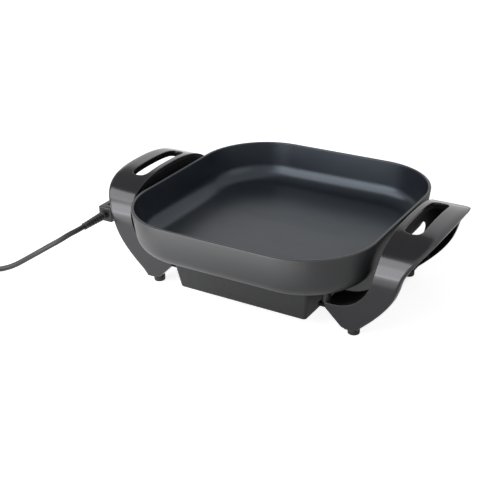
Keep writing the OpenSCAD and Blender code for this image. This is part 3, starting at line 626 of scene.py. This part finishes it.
def makePan():
    low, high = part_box("pan")
    half = high.x
    middle = half - panForm["corner"]
    obj = drawnLine([(middle + r, middle, z) for r, z in panProfile(high.z)])
    editAll(obj)
    bpy.ops.mesh.spin(steps=panForm["cornerSteps"], angle=math.pi / 2, center=(middle, middle, 0),
                      axis=(0, 0, -1))
    leaveEdit()
    # the spun corner's two ends run on to the mirror planes
    for axis in (1, 0):
        def onEnd(edge):
            ends = edgeEnds(obj, edge)
            return all(abs(p[axis] - middle) < tiny and p[1 - axis] > middle for p in ends)
        editPicked(obj, "EDGE", onEnd)
        run = [0, 0, 0]
        run[axis] = -middle
        bpy.ops.mesh.extrude_region_move(TRANSFORM_OT_translate={"value": run})
        leaveEdit()
    applied(obj, "MIRROR", use_axis=(True, True, False), merge_threshold=tiny)
    editAll(obj)
    bpy.ops.mesh.remove_doubles(threshold=tiny)
    bpy.ops.mesh.select_all(action="DESELECT")
    bpy.ops.mesh.select_non_manifold()
    bpy.ops.mesh.fill_holes(sides=0)
    leaveEdit()
    mergeAndFace(obj)
    combined(obj, panUnderside(low.z), "UNION")
    combined(obj, elementRidge(), "UNION")
    keepPiece(obj, "pan_body", "skillet", "coated_cast", "pan", shade=40,
              materials=[finishes["coatedCast"], finishes["nonStick"]])
    for face in obj.data.polygons:
        inFromRim = rimDistance(face.center.x, face.center.y, half)
        inside = face.normal.z > 0.02 and inFromRim > panForm["wall"] - panForm["rimRound"]
        face.material_index = 1 if inside and face.center.z > panForm["floorZ"] - tiny else 0


makePan()
print("pan made")


# Handles

handleForm = dict(
    archRise=0.052, archPower=2.5, wall=0.0025, lip=0.0095, skirt=0.022, legDeep=0.038, soft=0.0014,
    outSoft=0.008, tipCut=0.2, tipDrop=0.001, tipWide=0.016,
    slotX=(0.1725, 0.1945), slotEnd=0.046, slotRound=0.009, slotDeep=0.008,
    legLow=(0.1445, 0.012), legTop=(0.1905, 0.076), legIn=(0.1566, 0.067), tip=(0.103, 0.0383),
    gripIn=0.165, slotAbove=0.11,
    foot=[(0.1043, 0.0313), (0.1245, 0.011), (0.130, 0.0095), (0.143, 0.0095), (0.1445, 0.012)],
    topRows=[0, 0.015, 0.029, 0.039, 0.046, 0.0474],
    sideRows=[0.055, 0.064, 0.0715, 0.078, 0.083, 0.087, 0.0902, 0.0922, 0.093],
    legRows=9, legEnd=0.12,
    # from the ends of the edges' curves to their control points
    outBends=[(-0.008, -0.014), (0.0033, 0.019), (-0.0045, -0.026), (0.014, 0.013)],
    inBends=[(-0.0015, -0.017), (0.0073, 0.016), (-0.0075, -0.0165), (0.031, -0.0038)],
)
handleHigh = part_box("handle_right")[1]
archRise, archPower = handleForm["archRise"], handleForm["archPower"]
archMiddle = handleHigh.z - archRise


def cubicPoint(knots, t):
    u = 1 - t
    weights = (u * u * u, 3 * u * u * t, 3 * u * t * t, t * t * t)
    return tuple(sum(w * k[i] for w, k in zip(weights, knots)) for i in (0, 1))


def handleCurves():
    # front view of the right handle: the outer and the inner edge, from the grip down
    form = handleForm
    ends = {"out": [(handleHigh.x, handleHigh.z), form["legTop"], form["legLow"]],
            "in": [(form["gripIn"], handleHigh.z), form["legIn"], form["tip"]]}
    made = {}
    for side, (high, middle, low) in ends.items():
        bends = zip((high, middle, middle, low), form[side + "Bends"])
        a, b, c, d = [(x + dx, z + dz) for (x, z), (dx, dz) in bends]
        made[side + "High"], made[side + "Low"] = [high, a, b, middle], [middle, c, d, low]
    return made


curves = handleCurves()


def tracedLine(*names):
    return [cubicPoint(curves[name], i / 40) for name in names for i in range(41)]


edgeLines = dict(inner=tracedLine("inHigh", "inLow"), outer=tracedLine("outHigh", "outLow"))


def edgeX(side, z):
    line = edgeLines[side]
    for (x0, z0), (x1, z1) in zip(line, line[1:]):
        if z1 <= z <= z0 and z0 > z1:
            return x1 + (x0 - x1) * (z - z1) / (z0 - z1)
    return line[0][0] if z > line[0][1] else line[-1][0]


def archHeight(y):
    share = (abs(y) / handleHigh.y) ** archPower
    return archMiddle + archRise * max(0, 1 - share) ** (1 / archPower)


def archReach(z):
    if z <= archMiddle:
        return handleHigh.y
    share = ((z - archMiddle) / archRise) ** archPower
    return handleHigh.y * max(0, 1 - share) ** (1 / archPower)


def sunkIn(x, y, z, depth, side=None):
    # moves a point of the outside in, by one depth at the leg and one at the grip
    y = y * (handleHigh.y - depth[0]) / handleHigh.y
    if z <= archMiddle:
        return x, y, z
    z = archMiddle + (z - archMiddle) * (archRise - depth[1]) / archRise
    return (edgeX(side, z) if side else x), y, z


def roundedSlot(x, y, ring):
    # corner points of the slot's edge, and of the ring round it, go onto an arc
    (slotIn, slotOut), radius = handleForm["slotX"], handleForm["slotRound"]
    cornerX, cornerY = min(max(x, slotIn + radius), slotOut - radius), handleForm["slotEnd"] - radius
    dx, dy = x - cornerX, y - cornerY
    if dy <= 0 or abs(dx) < tiny:
        return x, y
    stretch = (radius + ring) / math.hypot(dx, dy)
    return cornerX + dx * stretch, cornerY + dy * stretch


def columnShares(inX, outX):
    # places across the moulding, from the inner edge to the outer one, as shares of its width
    soft, outSoft = handleForm["soft"], handleForm["outSoft"]
    slotIn, slotOut = handleForm["slotX"]
    places = [inX, inX + soft, slotIn - soft, slotIn]
    places += [slotIn + (slotOut - slotIn) * i / 4 for i in (1, 2, 3)]
    places += [slotOut, slotOut + soft, (slotOut + outX) / 2, outX - outSoft, outX]
    return [(x - inX) / (outX - inX) for x in places]


def alongFoot(share):
    line = handleForm["foot"]
    lengths = [math.dist(a, b) for a, b in zip(line, line[1:])]
    left = share * sum(lengths)
    for a, b, length in zip(line, line[1:], lengths):
        if left <= length + tiny:
            part = min(1, left / length)
            return a[0] + (b[0] - a[0]) * part, a[1] + (b[1] - a[1]) * part
        left -= length
    return line[-1]


def handleRows():
    # each row is a list of points across the moulding, from the crown to the foot
    form = handleForm
    rows = []
    for y in form["topRows"] + form["sideRows"]:
        z = archHeight(y)
        inX, outX = edgeX("inner", z), edgeX("outer", z)
        if y in form["topRows"]:
            shares = columnShares(inX, outX)
        row = []
        for s in shares:
            # the grip is crowned towards its outer edge
            near = max(0, 1 - (1 - s) * (outX - inX) / form["tipWide"])
            drop = form["tipDrop"] * near * near * (1 - (y / handleHigh.y) ** 4)
            row.append((inX + (outX - inX) * s, y, z - drop))
        rows.append(row)
    lowKnots = curves["outLow"]
    startT = next(i / 200 for i in range(201) if cubicPoint(lowKnots, i / 200)[1] <= form["legIn"][1])
    for k in range(1, form["legRows"] + 1):
        share = k / form["legRows"]
        inX, inZ = cubicPoint(curves["inLow"], share)
        outX, outZ = cubicPoint(lowKnots, startT + (1 - form["legEnd"] - startT) * share)
        points = [(inX + (outX - inX) * s, inZ + (outZ - inZ) * s) for s in shares]
        rows.append([(x, archReach(z), z) for x, z in points])
    last = rows[-1]
    foot = [alongFoot(s) for s in shares]
    for share in (0.5, 0.9, 1):
        rows.append([(a[0] + (b[0] - a[0]) * share, handleHigh.y, a[2] + (b[1] - a[2]) * share)
                     for a, b in zip(last, foot)])
    return rows


def makeHandleHalf():
    form = handleForm
    rows = handleRows()
    outer = ((form["outSoft"],) * 2, (form["lip"],) * 2)
    lips = dict(inner=((form["soft"],) * 2, (form["legDeep"], form["skirt"])), outer=outer)
    across, down = len(rows[0]), len(rows)
    slotColumns, slotRow = (3, 7), form["topRows"].index(form["slotEnd"])
    bpy.ops.mesh.primitive_grid_add(x_subdivisions=across + 3, y_subdivisions=down + 1, size=2)
    obj = bpy.context.object
    obj.scale = ((across + 3) / 2, (down + 1) / 2, 1)
    obj.location = ((across - 1) / 2, (down + 1) / 2, 0)
    settled(obj)

    # the slot's edge, or a ring that is wider by some steps
    def onSlotRing(column, row, grow):
        first, last, end = slotColumns[0] - grow, slotColumns[1] + grow, slotRow + grow
        return column in (first, last) and row <= end or row == end and first <= column <= last

    # the slot, and the corners where two turned-in edges meet, are left open
    def spare(face):
        x, y = face.center.x, face.center.y
        inSlot = slotColumns[0] < x < slotColumns[1] and y < slotRow
        return inSlot or (y > down - 1 and not 0 < x < across - 1)

    withoutFaces(obj, spare)
    # the inner skirt takes the darker copy of the moulding: painted shade
    for name in ("blackMoulding", "mouldingInside"):
        obj.data.materials.append(finishes[name])
    for face in obj.data.polygons:
        face.material_index = 1 if face.center.x < -1 else 0
    for vertex in obj.data.vertices:
        column, row = round(vertex.co.x), round(vertex.co.y)
        x, y, z = rows[min(row, down - 1)][min(max(column, 0), across - 1)]
        for grow, ring in ((0, 0), (1, form["soft"])):
            if onSlotRing(column, row, grow):
                x, y = roundedSlot(x, y, ring)
                z = archHeight(y)
        if row >= down:
            x, y, z = sunkIn(x, y, z, lips["outer"][row - down])
        elif column < 0:
            x, y, z = sunkIn(x, y, z, lips["inner"][-column - 1], "inner")
        elif column >= across:
            x, y, z = sunkIn(x, y, z, lips["outer"][column - across], "outer")
        elif column == across - 1:
            # the grip's outer edge is rounder than the leg's
            low = Vector(sunkIn(x, y, z, lips["outer"][0], "outer"))
            edge, beside = Vector((x, y, z)), Vector(rows[row][column - 1])
            cut = form["tipCut"] * max(0, 1 - row / (len(form["topRows"]) + 4))
            x, y, z = edge + ((low - edge) + (beside - edge)) * cut
        vertex.co = (x, -y, z)
    mergeAndFace(obj)
    return obj


def makeHandle():
    form = handleForm
    slotIn, slotOut = form["slotX"][0] - tiny, form["slotX"][1] + tiny
    obj = makeHandleHalf()
    applied(obj, "MIRROR", use_axis=(False, True, False), merge_threshold=tiny)
    mergeAndFace(obj)
    top = max(obj.data.polygons, key=lambda face: face.center.z)
    if top.normal.z < 0:
        editAll(obj)
        bpy.ops.mesh.flip_normals()
        leaveEdit()
    uses = {}
    for face in obj.data.polygons:
        for key in face.edge_keys:
            uses[key] = uses.get(key, 0) + 1

    def slotRim(edge):
        a, b = edgeEnds(obj, edge)
        inside = slotIn < min(a.x, b.x) and max(a.x, b.x) < slotOut
        return uses[tuple(sorted(edge.vertices))] == 1 and inside and min(a.z, b.z) > form["slotAbove"]

    editPicked(obj, "EDGE", slotRim)
    for deep in (form["soft"], form["slotDeep"] - form["soft"]):
        bpy.ops.mesh.extrude_region_move(TRANSFORM_OT_translate={"value": (0, 0, -deep)})
    leaveEdit()
    # the slot's walls take the darker copy, and the solidify gives it to the skin's inside and rims: painted
    # shade
    for face in obj.data.polygons:
        across = all(slotIn < obj.data.vertices[i].co.x < slotOut for i in face.vertices)
        below = face.center.z < archHeight(face.center.y) - form["soft"]
        if across and below and abs(face.normal.z) < 0.5 and abs(face.center.y) < form["slotEnd"] + tiny:
            face.material_index = 1
    applied(obj, "SOLIDIFY", thickness=form["wall"], offset=-1, use_quality_normals=True, material_offset=1,
            material_offset_rim=1, edge_crease_rim=0.7, edge_crease_inner=0.7, edge_crease_outer=0.7)
    applied(obj, "SUBSURF", levels=2, render_levels=2)
    softShade(obj, 60)
    return obj


fittingForm = dict(shelf=((0.0945, 0.0745, 0.030), (0.159, 0.0905, 0.034)),
                   flange=((0.128, 0.070, 0.0095), (0.143, 0.092, 0.013)),
                   boss=0.0045, bossAt=(0.134, 0.079), bossZ=(0.0105, 0.0245), soft=0.0006)


def legFittings():
    # the shelf for a pan post and the flange with its boss for a foot
    form = fittingForm
    made = []
    for side in (-1, 1):
        for (x0, y0, z0), (x1, y1, z1) in (form["shelf"], form["flange"]):
            low, high = sorted((side * y0, side * y1))
            made.append(softBox((x0, low, z0), (x1, high, z1), form["soft"]))
        made.append(peg(form["bossAt"][0], side * form["bossAt"][1], form["boss"], *form["bossZ"]))
    return made


def makeHandles():
    moulding = makeHandle()
    fittings = legFittings()
    # the fittings inside the legs take the darker copy too: painted shade
    for obj in fittings:
        softShade(obj)
        obj.data.materials.append(finishes["mouldingInside"])
    right = joined([moulding] + fittings)
    left = copied(right)
    left.scale.x = -1
    settled(left)
    mergeAndFace(left)
    finish = [finishes["blackMoulding"], finishes["mouldingInside"]]
    keepPiece(right, "grip_right", "skillet", "black_moulding", "handle_right", materials=finish, shade=0)
    keepPiece(left, "grip_left", "skillet", "black_moulding", "handle_left", materials=finish, shade=0)


makeHandles()
print("handles made")


# Base guard

guardForm = dict(wall=0.002, corner=0.004, bottom=0.0016, notchY=0.0423, notchZ=0.0418, notchOver=0.01,
                 notchSoft=0.002, draft=8.5)


def makeGuard(wall, corner, bottom, notchY, notchZ, notchOver, notchSoft, draft):
    low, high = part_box("base_guard")
    lean = (high.z - low.z) * math.tan(math.radians(draft))
    x, y = high.x - lean, high.y - lean
    obj = plainBox((-x, -y, low.z), (x, y, high.z))
    editPicked(obj, "FACE", looksUp)
    bpy.ops.transform.resize(value=(high.x / x, high.y / y, 1), center_override=(0, 0, high.z))
    leaveEdit()
    bevelled(obj, runsAlong(obj, 2), corner, 6)
    bevelled(obj, liesAt(obj, low.z), bottom, 3)
    withoutFaces(obj, looksUp)
    applied(obj, "SOLIDIFY", thickness=wall, offset=-1)
    # the inlet looks out through a notch on the left
    notch = softBox((low.x * 1.5, -notchY, notchZ), (low.x / 2, notchY, high.z + notchOver), notchSoft)
    combined(obj, notch, "DIFFERENCE")
    keepPiece(obj, "guard_tray", "skillet", "guard_moulding", "base_guard")


makeGuard(**guardForm)
print("guard made")


# Feet and screws

footForm = dict(radius=0.007, height=0.0095, recess=0.004, recessDeep=0.005, soft=0.001)


def makeFeet(radius, height, recess, recessDeep, soft):
    half = soft / 2
    profile = [(0, recessDeep), (recess, recessDeep), (recess, half), (recess + half, 0), (radius - soft, 0)]
    profile += arcPoints((radius - soft, soft), soft, -90, 0, 4)[1:]
    profile += [(radius, height * 0.62), (radius - half, height * 0.66), (radius - half, height * 0.74)]
    profile += [(radius, height * 0.78), (radius, height), (0, height)]
    first = spun(profile, 40)
    for node in ("foot_front_left", "foot_front_right", "foot_back_left", "foot_back_right"):
        low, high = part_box(node)
        foot = copied(first, ((low.x + high.x) / 2, (low.y + high.y) / 2, 0))
        keepPiece(foot, node.replace("foot", "rubber"), "skillet", "foot_rubber", node)
    bpy.data.objects.remove(first)


screwForms = dict(
    handle_screws=dict(at=(0.1015, 0.083), seat=0.030, head=0.0045, high=0.003, shank=0.0024, length=0.016),
    guard_screws=dict(at=(0.062, 0.0805), seat=0.0138, head=0.004, high=0.0024, shank=0.002, length=0.014),
    foot_screws=dict(at=(0.134, 0.079), seat=0.005, head=0.0037, high=0.002, shank=0.0019, length=0.0165),
)


def makeScrews(node, at, seat, head, high, shank, length):
    # pan heads with a cross recess, under the seat, and their shanks
    profile = [(0, -high), (head * 0.55, -high * 0.97), (head * 0.85, -high * 0.75), (head, -high * 0.35)]
    profile += [(head, 0), (shank, 0), (shank, length - shank * 0.5), (shank * 0.6, length), (0, length)]
    first = spun(profile, 28)
    wide, slim = head * 0.6, head * 0.13
    for x, y in ((wide, slim), (slim, wide)):
        slot = softBox((-x, -y, -high * 1.5), (x, y, -high * 0.45), head * 0.03, 1)
        combined(first, slot, "DIFFERENCE")
    obj = joined([copied(first, (x, y, seat)) for x, y in fourCorners(at)])
    bpy.data.objects.remove(first)
    keepPiece(obj, node.replace("screws", "fixings"), "skillet", "plated_steel", node)


makeFeet(**footForm)
for screwNode, screwForm in screwForms.items():
    makeScrews(screwNode, **screwForm)
print("feet and screws made")


# Control: cover, base and lever

controlForm = dict(
    split=0.055, caseZ=0.0483, wall=0.002, corner=0.0025, soft=0.0011,
    noseX=-0.2245, noseY=0.024, noseZ=(0.0454, 0.0596), noseIn=0.003, noseCorner=0.0015,
    pinHole=0.003, probeHole=0.0033, holeDeep=0.006, pinY=0.014, pinZ=0.0525,
)


def openShell(low, high, corner, upwards):
    # a box with rounded corners, open at the split between the two halves
    obj = plainBox(low, high)
    shut = high[2] if upwards else low[2]
    bevelled(obj, runsAlong(obj, 2), corner, 5)
    bevelled(obj, liesAt(obj, shut), controlForm["soft"], 4)
    withoutFaces(obj, lambda face: face.normal.z < -0.9 if upwards else looksUp(face))
    applied(obj, "SOLIDIFY", thickness=controlForm["wall"], offset=-1)
    return obj


def noseHoles():
    form = controlForm
    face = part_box("control_cover")[1].x
    holes = []
    for y in (-form["pinY"], 0, form["pinY"]):
        hole = peg(0, 0, form["pinHole" if y else "probeHole"], -form["holeDeep"], form["holeDeep"])
        holes.append(turnedTo(hole, (1, 0, 0), (face, y, form["pinZ"])))
    return joined(holes)


def controlHalf(node, caseZ, noseZ, upwards):
    form = controlForm
    low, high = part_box(node)
    x, y = form["noseX"], form["noseY"]
    case = openShell((low.x, low.y, caseZ[0]), (x, high.y, caseZ[1]), form["corner"], upwards)
    nose = openShell((x - form["noseIn"], -y, noseZ[0]), (high.x, y, noseZ[1]), form["noseCorner"], upwards)
    obj = combined(case, nose, "UNION")
    return combined(obj, noseHoles(), "DIFFERENCE")


trackForm = dict(x=(-0.23755, -0.23195), y=(-0.0455, 0.0095), rim=0.0009, proud=0.00035, sunk=0.001,
                 soft=0.0003, deep=0.006, over=0.004, slotSoft=0.0008)


def makeCover(x, y, rim, proud, sunk, soft, deep, over, slotSoft):
    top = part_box("control_cover")[1].z
    split, noseTop = controlForm["split"], controlForm["noseZ"][1]
    obj = controlHalf("control_cover", (split, top), (split, noseTop), True)
    low, high = (x[0] - rim, y[0] - rim, top - sunk), (x[1] + rim, y[1] + rim, top + proud)
    combined(obj, softBox(low, high, soft, 2), "UNION")
    slot = softBox((x[0], y[0], top - deep), (x[1], y[1], top + over), slotSoft, 2)
    combined(obj, slot, "DIFFERENCE")
    keepPiece(obj, "control_lid", "control", "control_moulding", "control_cover")


tickForm = dict(count=9, end=0.0045, gap=0.0006, long=0.0022, wide=0.0004, sunk=0.0002, proud=0.00015,
                soft=0.0001)


def makeTicks(count, end, gap, long, wide, sunk, proud, soft):
    # marks beside the track, every fourth one longer
    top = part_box("control_cover")[1].z
    x = trackForm["x"][1] + trackForm["rim"] + gap
    low, high = trackForm["y"][0] + end, trackForm["y"][1] - end
    ticks = []
    for i in range(count):
        y = low + (high - low) * i / (count - 1)
        reach = long * (1.5 if i % 4 == 0 else 1)
        ticks.append(softBox((x, y - wide, top - sunk), (x + reach, y + wide, top + proud), soft, 1))
    keepPiece(joined(ticks), "scale_ticks", "control", "lever_moulding", shade=0)


def makeBase():
    split, noseLow = controlForm["split"], controlForm["noseZ"][0]
    obj = controlHalf("control_base", (controlForm["caseZ"], split), (noseLow, split), False)
    keepPiece(obj, "control_tray", "control", "control_moulding", "control_base")


leverForm = dict(gap=0.0005, stem=(0.0025, 0.004), stemIn=0.001, stemSoft=0.0003, soft=0.0009, ribs=5,
                 ribWide=0.0012, ribHigh=0.0007, ribIn=0.001, ribEnd=0.002, ribDeep=0.002, ribSoft=0.0004)


def makeLever(gap, stem, stemIn, stemSoft, soft, ribs, ribWide, ribHigh, ribIn, ribEnd, ribDeep, ribSoft):
    low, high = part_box("control_lever")
    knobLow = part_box("control_cover")[1].z + gap
    x, y = (low.x + high.x) / 2, (low.y + high.y) / 2
    post = softBox((x - stem[0], y - stem[1], low.z), (x + stem[0], y + stem[1], knobLow + stemIn), stemSoft)
    knob = softBox((low.x, low.y, knobLow), (high.x, high.y, high.z - ribHigh), soft, 4)
    pieces = [combined(knob, post, "UNION")]
    pitch = (high.y - low.y - 2 * ribEnd) / (ribs - 1)
    for i in range(ribs):
        y = low.y + ribEnd + pitch * i
        pieces.append(softBox((low.x + ribIn, y - ribWide / 2, high.z - ribDeep),
                              (high.x - ribIn, y + ribWide / 2, high.z), ribSoft, 3))
    obj = joined(pieces)
    keepPiece(obj, "heat_lever", "lever", "lever_moulding", "control_lever")


makeCover(**trackForm)
makeTicks(**tickForm)
makeBase()
makeLever(**leverForm)
print("control made")


# Inlet with its pins, and the probe

inletForm = dict(wall=0.0012, gap=0.0015, corner=0.0025, soft=0.0003, earX=(-0.112, -0.098),
                 earY=(0.0252, 0.0368), earZ=(0.057, 0.0594), earSoft=0.0004, pinRound=0.0018, pinY=0.014,
                 probeTip=0.45)


def makeShroud():
    form = inletForm
    low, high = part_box("inlet_shroud")
    blockLow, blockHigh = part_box("inlet_block")
    side = blockHigh.y + form["gap"]
    obj = plainBox((low.x, -side, blockLow.z - form["gap"]), (high.x, side, blockHigh.z + form["gap"]))
    bevelled(obj, runsAlong(obj, 0), form["corner"], 5)
    withoutFaces(obj, lambda face: abs(face.normal.x) > 0.9)
    applied(obj, "SOLIDIFY", thickness=form["wall"], offset=-1)
    applied(obj, "BEVEL", width=form["soft"], segments=2, limit_method="ANGLE", angle_limit=math.radians(50))
    pieces = [obj]
    (x0, x1), (z0, z1) = form["earX"], form["earZ"]
    for side in (-1, 1):
        y0, y1 = sorted(side * y for y in form["earY"])
        pieces.append(softBox((x0, y0, z0), (x1, y1, z1), form["earSoft"]))
    obj = joined(pieces)
    keepPiece(obj, "inlet_sleeve", "skillet", "shroud_steel", "inlet_shroud")


def roundRod(node, y, tip):
    # a rod along X with both ends rounded
    low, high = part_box(node)
    length, radius = high.x - low.x, (high.z - low.z) / 2
    profile = [(0, 0), (radius - tip, 0)] + arcPoints((radius - tip, tip), tip, -90, 0, 4)[1:]
    profile += arcPoints((radius - tip, length - tip), tip, 0, 90, 4) + [(0, length)]
    return turnedTo(spun(profile, 32), (1, 0, 0), (low.x, y, (low.z + high.z) / 2))


def makePins():
    form = inletForm
    pins = [roundRod("terminal_pins", side * form["pinY"], form["pinRound"]) for side in (-1, 1)]
    keepPiece(joined(pins), "mains_pins", "skillet", "plated_steel", "terminal_pins")
    low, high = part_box("probe")
    probe = roundRod("probe", 0, (high.z - low.z) * form["probeTip"])
    keepPiece(probe, "heat_probe", "control", "plated_steel", "probe")


makeShroud()
makePins()
print("inlet made")


# CAD nodes that stay in view take the finish of their slot

def dressNodes():
    for row in frame["record"]["subparts"]:
        node = frame["nodes"][row["node"]]
        node.data.materials.clear()
        node.data.materials.append(slotFinish(row["material_slot"]))


dressNodes()
print("nodes dressed")


# Floor, world and lights

stageForm = dict(
    floor=12, floorGap=0.0002, floorColour=(0.55, 0.55, 0.55, 1), floorRough=0.8, floorLift=0.84,
    # a box below the pan where the floor's white lift is left off: painted shadow
    underHalf=(0.09, 0.06, 1), underMiddle=(0.02, 0.045, 0), underFade=0.032,
    # the floor's glow, as reflections see it, dims towards the right: painted falloff of light
    dimFrom=(-0.2, 0.07), dimTo=0.28,
    ambient=0.36, ceiling=0.25, ceilingWay=(-0.585, 0.14, 0.795), ceilingFrom=(0.78, 0.89),
)


def addFloor():
    form = stageForm
    bpy.ops.mesh.primitive_plane_add(size=form["floor"], location=(0, 0, -form["floorGap"]))
    floor = settled(bpy.context.object)
    floor.name = "counter"
    material, tree, shader = newMaterial("counterWhite")
    ray = addNode(tree, "LightPath").outputs
    place = addNode(tree, "TexCoord").outputs["Object"]
    # the lift is left off in the box under the pan: painted shadow
    shown = mathOut(tree, "MULTIPLY", seenDirectly(tree, ray), beyondPaintedShadow(tree, place))
    # reflections see less of the floor's glow on the right: painted falloff
    shown = mathOut(tree, "MULTIPLY", shown, paintedFalloffRight(tree, place, ray))
    feed(tree, shader, {
        "Base Color": form["floorColour"],
        "Roughness": form["floorRough"],
        "Specular IOR Level": 0,
        "Emission Color": (1, 1, 1, 1),
        "Emission Strength": mathOut(tree, "MULTIPLY", shown, form["floorLift"]),
    })
    floor.data.materials.append(material)


def beyondPaintedShadow(tree, spot):
    # 0 on the floor in a box below the pan and 1 beside it: a painted shadow, where the white lift is left
    # off so that the floor's own shade shows
    steps = [("SUBTRACT", stageForm["underMiddle"]), ("ABSOLUTE", (0, 0, 0)),
             ("SUBTRACT", stageForm["underHalf"]), ("MAXIMUM", (0, 0, 0))]
    for operation, other in steps:
        spot = mathOut(tree, operation, spot, other, kind="VectorMath")
    far = addNode(tree, "VectorMath", {0: spot}, operation="LENGTH").outputs["Value"]
    return ramped(tree, far, 0, stageForm["underFade"], way="SMOOTHSTEP")


def paintedFalloffRight(tree, place, ray):
    # painted light falloff: reflections see the floor's glow dim towards the right, away from the lamps, and
    # the camera sees it white
    x = addNode(tree, "SeparateXYZ", {0: place}).outputs["X"]
    fall = ramped(tree, x, *stageForm["dimFrom"], 1, stageForm["dimTo"], way="SMOOTHSTEP")
    return mathOut(tree, "MAXIMUM", fall, ray["Is Camera Ray"])


def seenDirectly(tree, ray):
    # 1 for what the camera, a reflection or clear glass sees
    seen = mathOut(tree, "MAXIMUM", ray["Is Camera Ray"], ray["Is Glossy Ray"])
    return mathOut(tree, "MAXIMUM", seen, ray["Is Transmission Ray"])


def setWorld():
    # white round the object, with a dark patch of ceiling above it
    scene.world = bpy.data.worlds.new("studio")
    scene.world.use_nodes = True
    tree = scene.world.node_tree
    ray = addNode(tree, "LightPath").outputs
    way = addNode(tree, "TexCoord").outputs["Generated"]
    towards = addNode(tree, "VectorMath", {0: way, 1: stageForm["ceilingWay"]}, operation="DOT_PRODUCT")
    ceiling = ramped(tree, towards.outputs["Value"], *stageForm["ceilingFrom"], 1, stageForm["ceiling"],
                     way="SMOOTHSTEP")
    feed(tree, tree.nodes["Background"], {
        "Color": mathOut(tree, "MAXIMUM", ceiling, ray["Is Camera Ray"]),
        "Strength": ramped(tree, seenDirectly(tree, ray), 0, 1, stageForm["ambient"], 1),
    })


lamps = [
    dict(name="keyHigh", at=(-0.68, -0.665, 0.9), aim=(-0.28, 0.025, 0.13), size=(1.35, 0.8), power=11,
         fades=((0, 0.45), (1, 0.9))),
    dict(name="keyMiddle", at=(-0.53, -1.04, 0.44), aim=(-0.28, 0.03, 0.38), size=(1.05, 0.9), power=13.5,
         fades=((-0.15, 0.2), (1.1, 0.65))),
    dict(name="keyFloor", at=(-0.45, -0.62, 0.06), aim=(-0.45, -0.45, 1.045), size=(1.3, 0.8), power=7,
         fades=((-0.2, 0.4),)),
    dict(name="rightPanel", at=(1.2, -0.15, 0.55), aim=(0, 0, 0.1), size=(1.0, 1.2), power=2.5),
]


def fadeLamp(light, fades):
    # the panel gets dimmer towards its lower and upper edges
    light.use_nodes = True
    tree = light.node_tree
    spot = addNode(tree, "NewGeometry").outputs["Parametric"]
    height = addNode(tree, "SeparateXYZ", {0: spot}).outputs["Y"]
    level = 1
    for dark, full in fades:
        fade = ramped(tree, height, dark, full, way="SMOOTHSTEP")
        level = mathOut(tree, "MULTIPLY", fade, level)
    feed(tree, tree.nodes["Emission"], {"Strength": level})


def addLamps():
    for lamp in lamps:
        bpy.ops.object.light_add(type="AREA", location=lamp["at"])
        light = bpy.context.object
        light.name = lamp["name"]
        light.data.shape = "RECTANGLE"
        light.data.size, light.data.size_y = lamp["size"]
        light.data.energy = lamp["power"]
        away = Vector(lamp["at"]) - Vector(lamp["aim"])
        light.rotation_euler = away.to_track_quat("Z", "Y").to_euler()
        if "fades" in lamp:
            fadeLamp(light.data, lamp["fades"])


addFloor()
setWorld()
addLamps()
print("stage set")
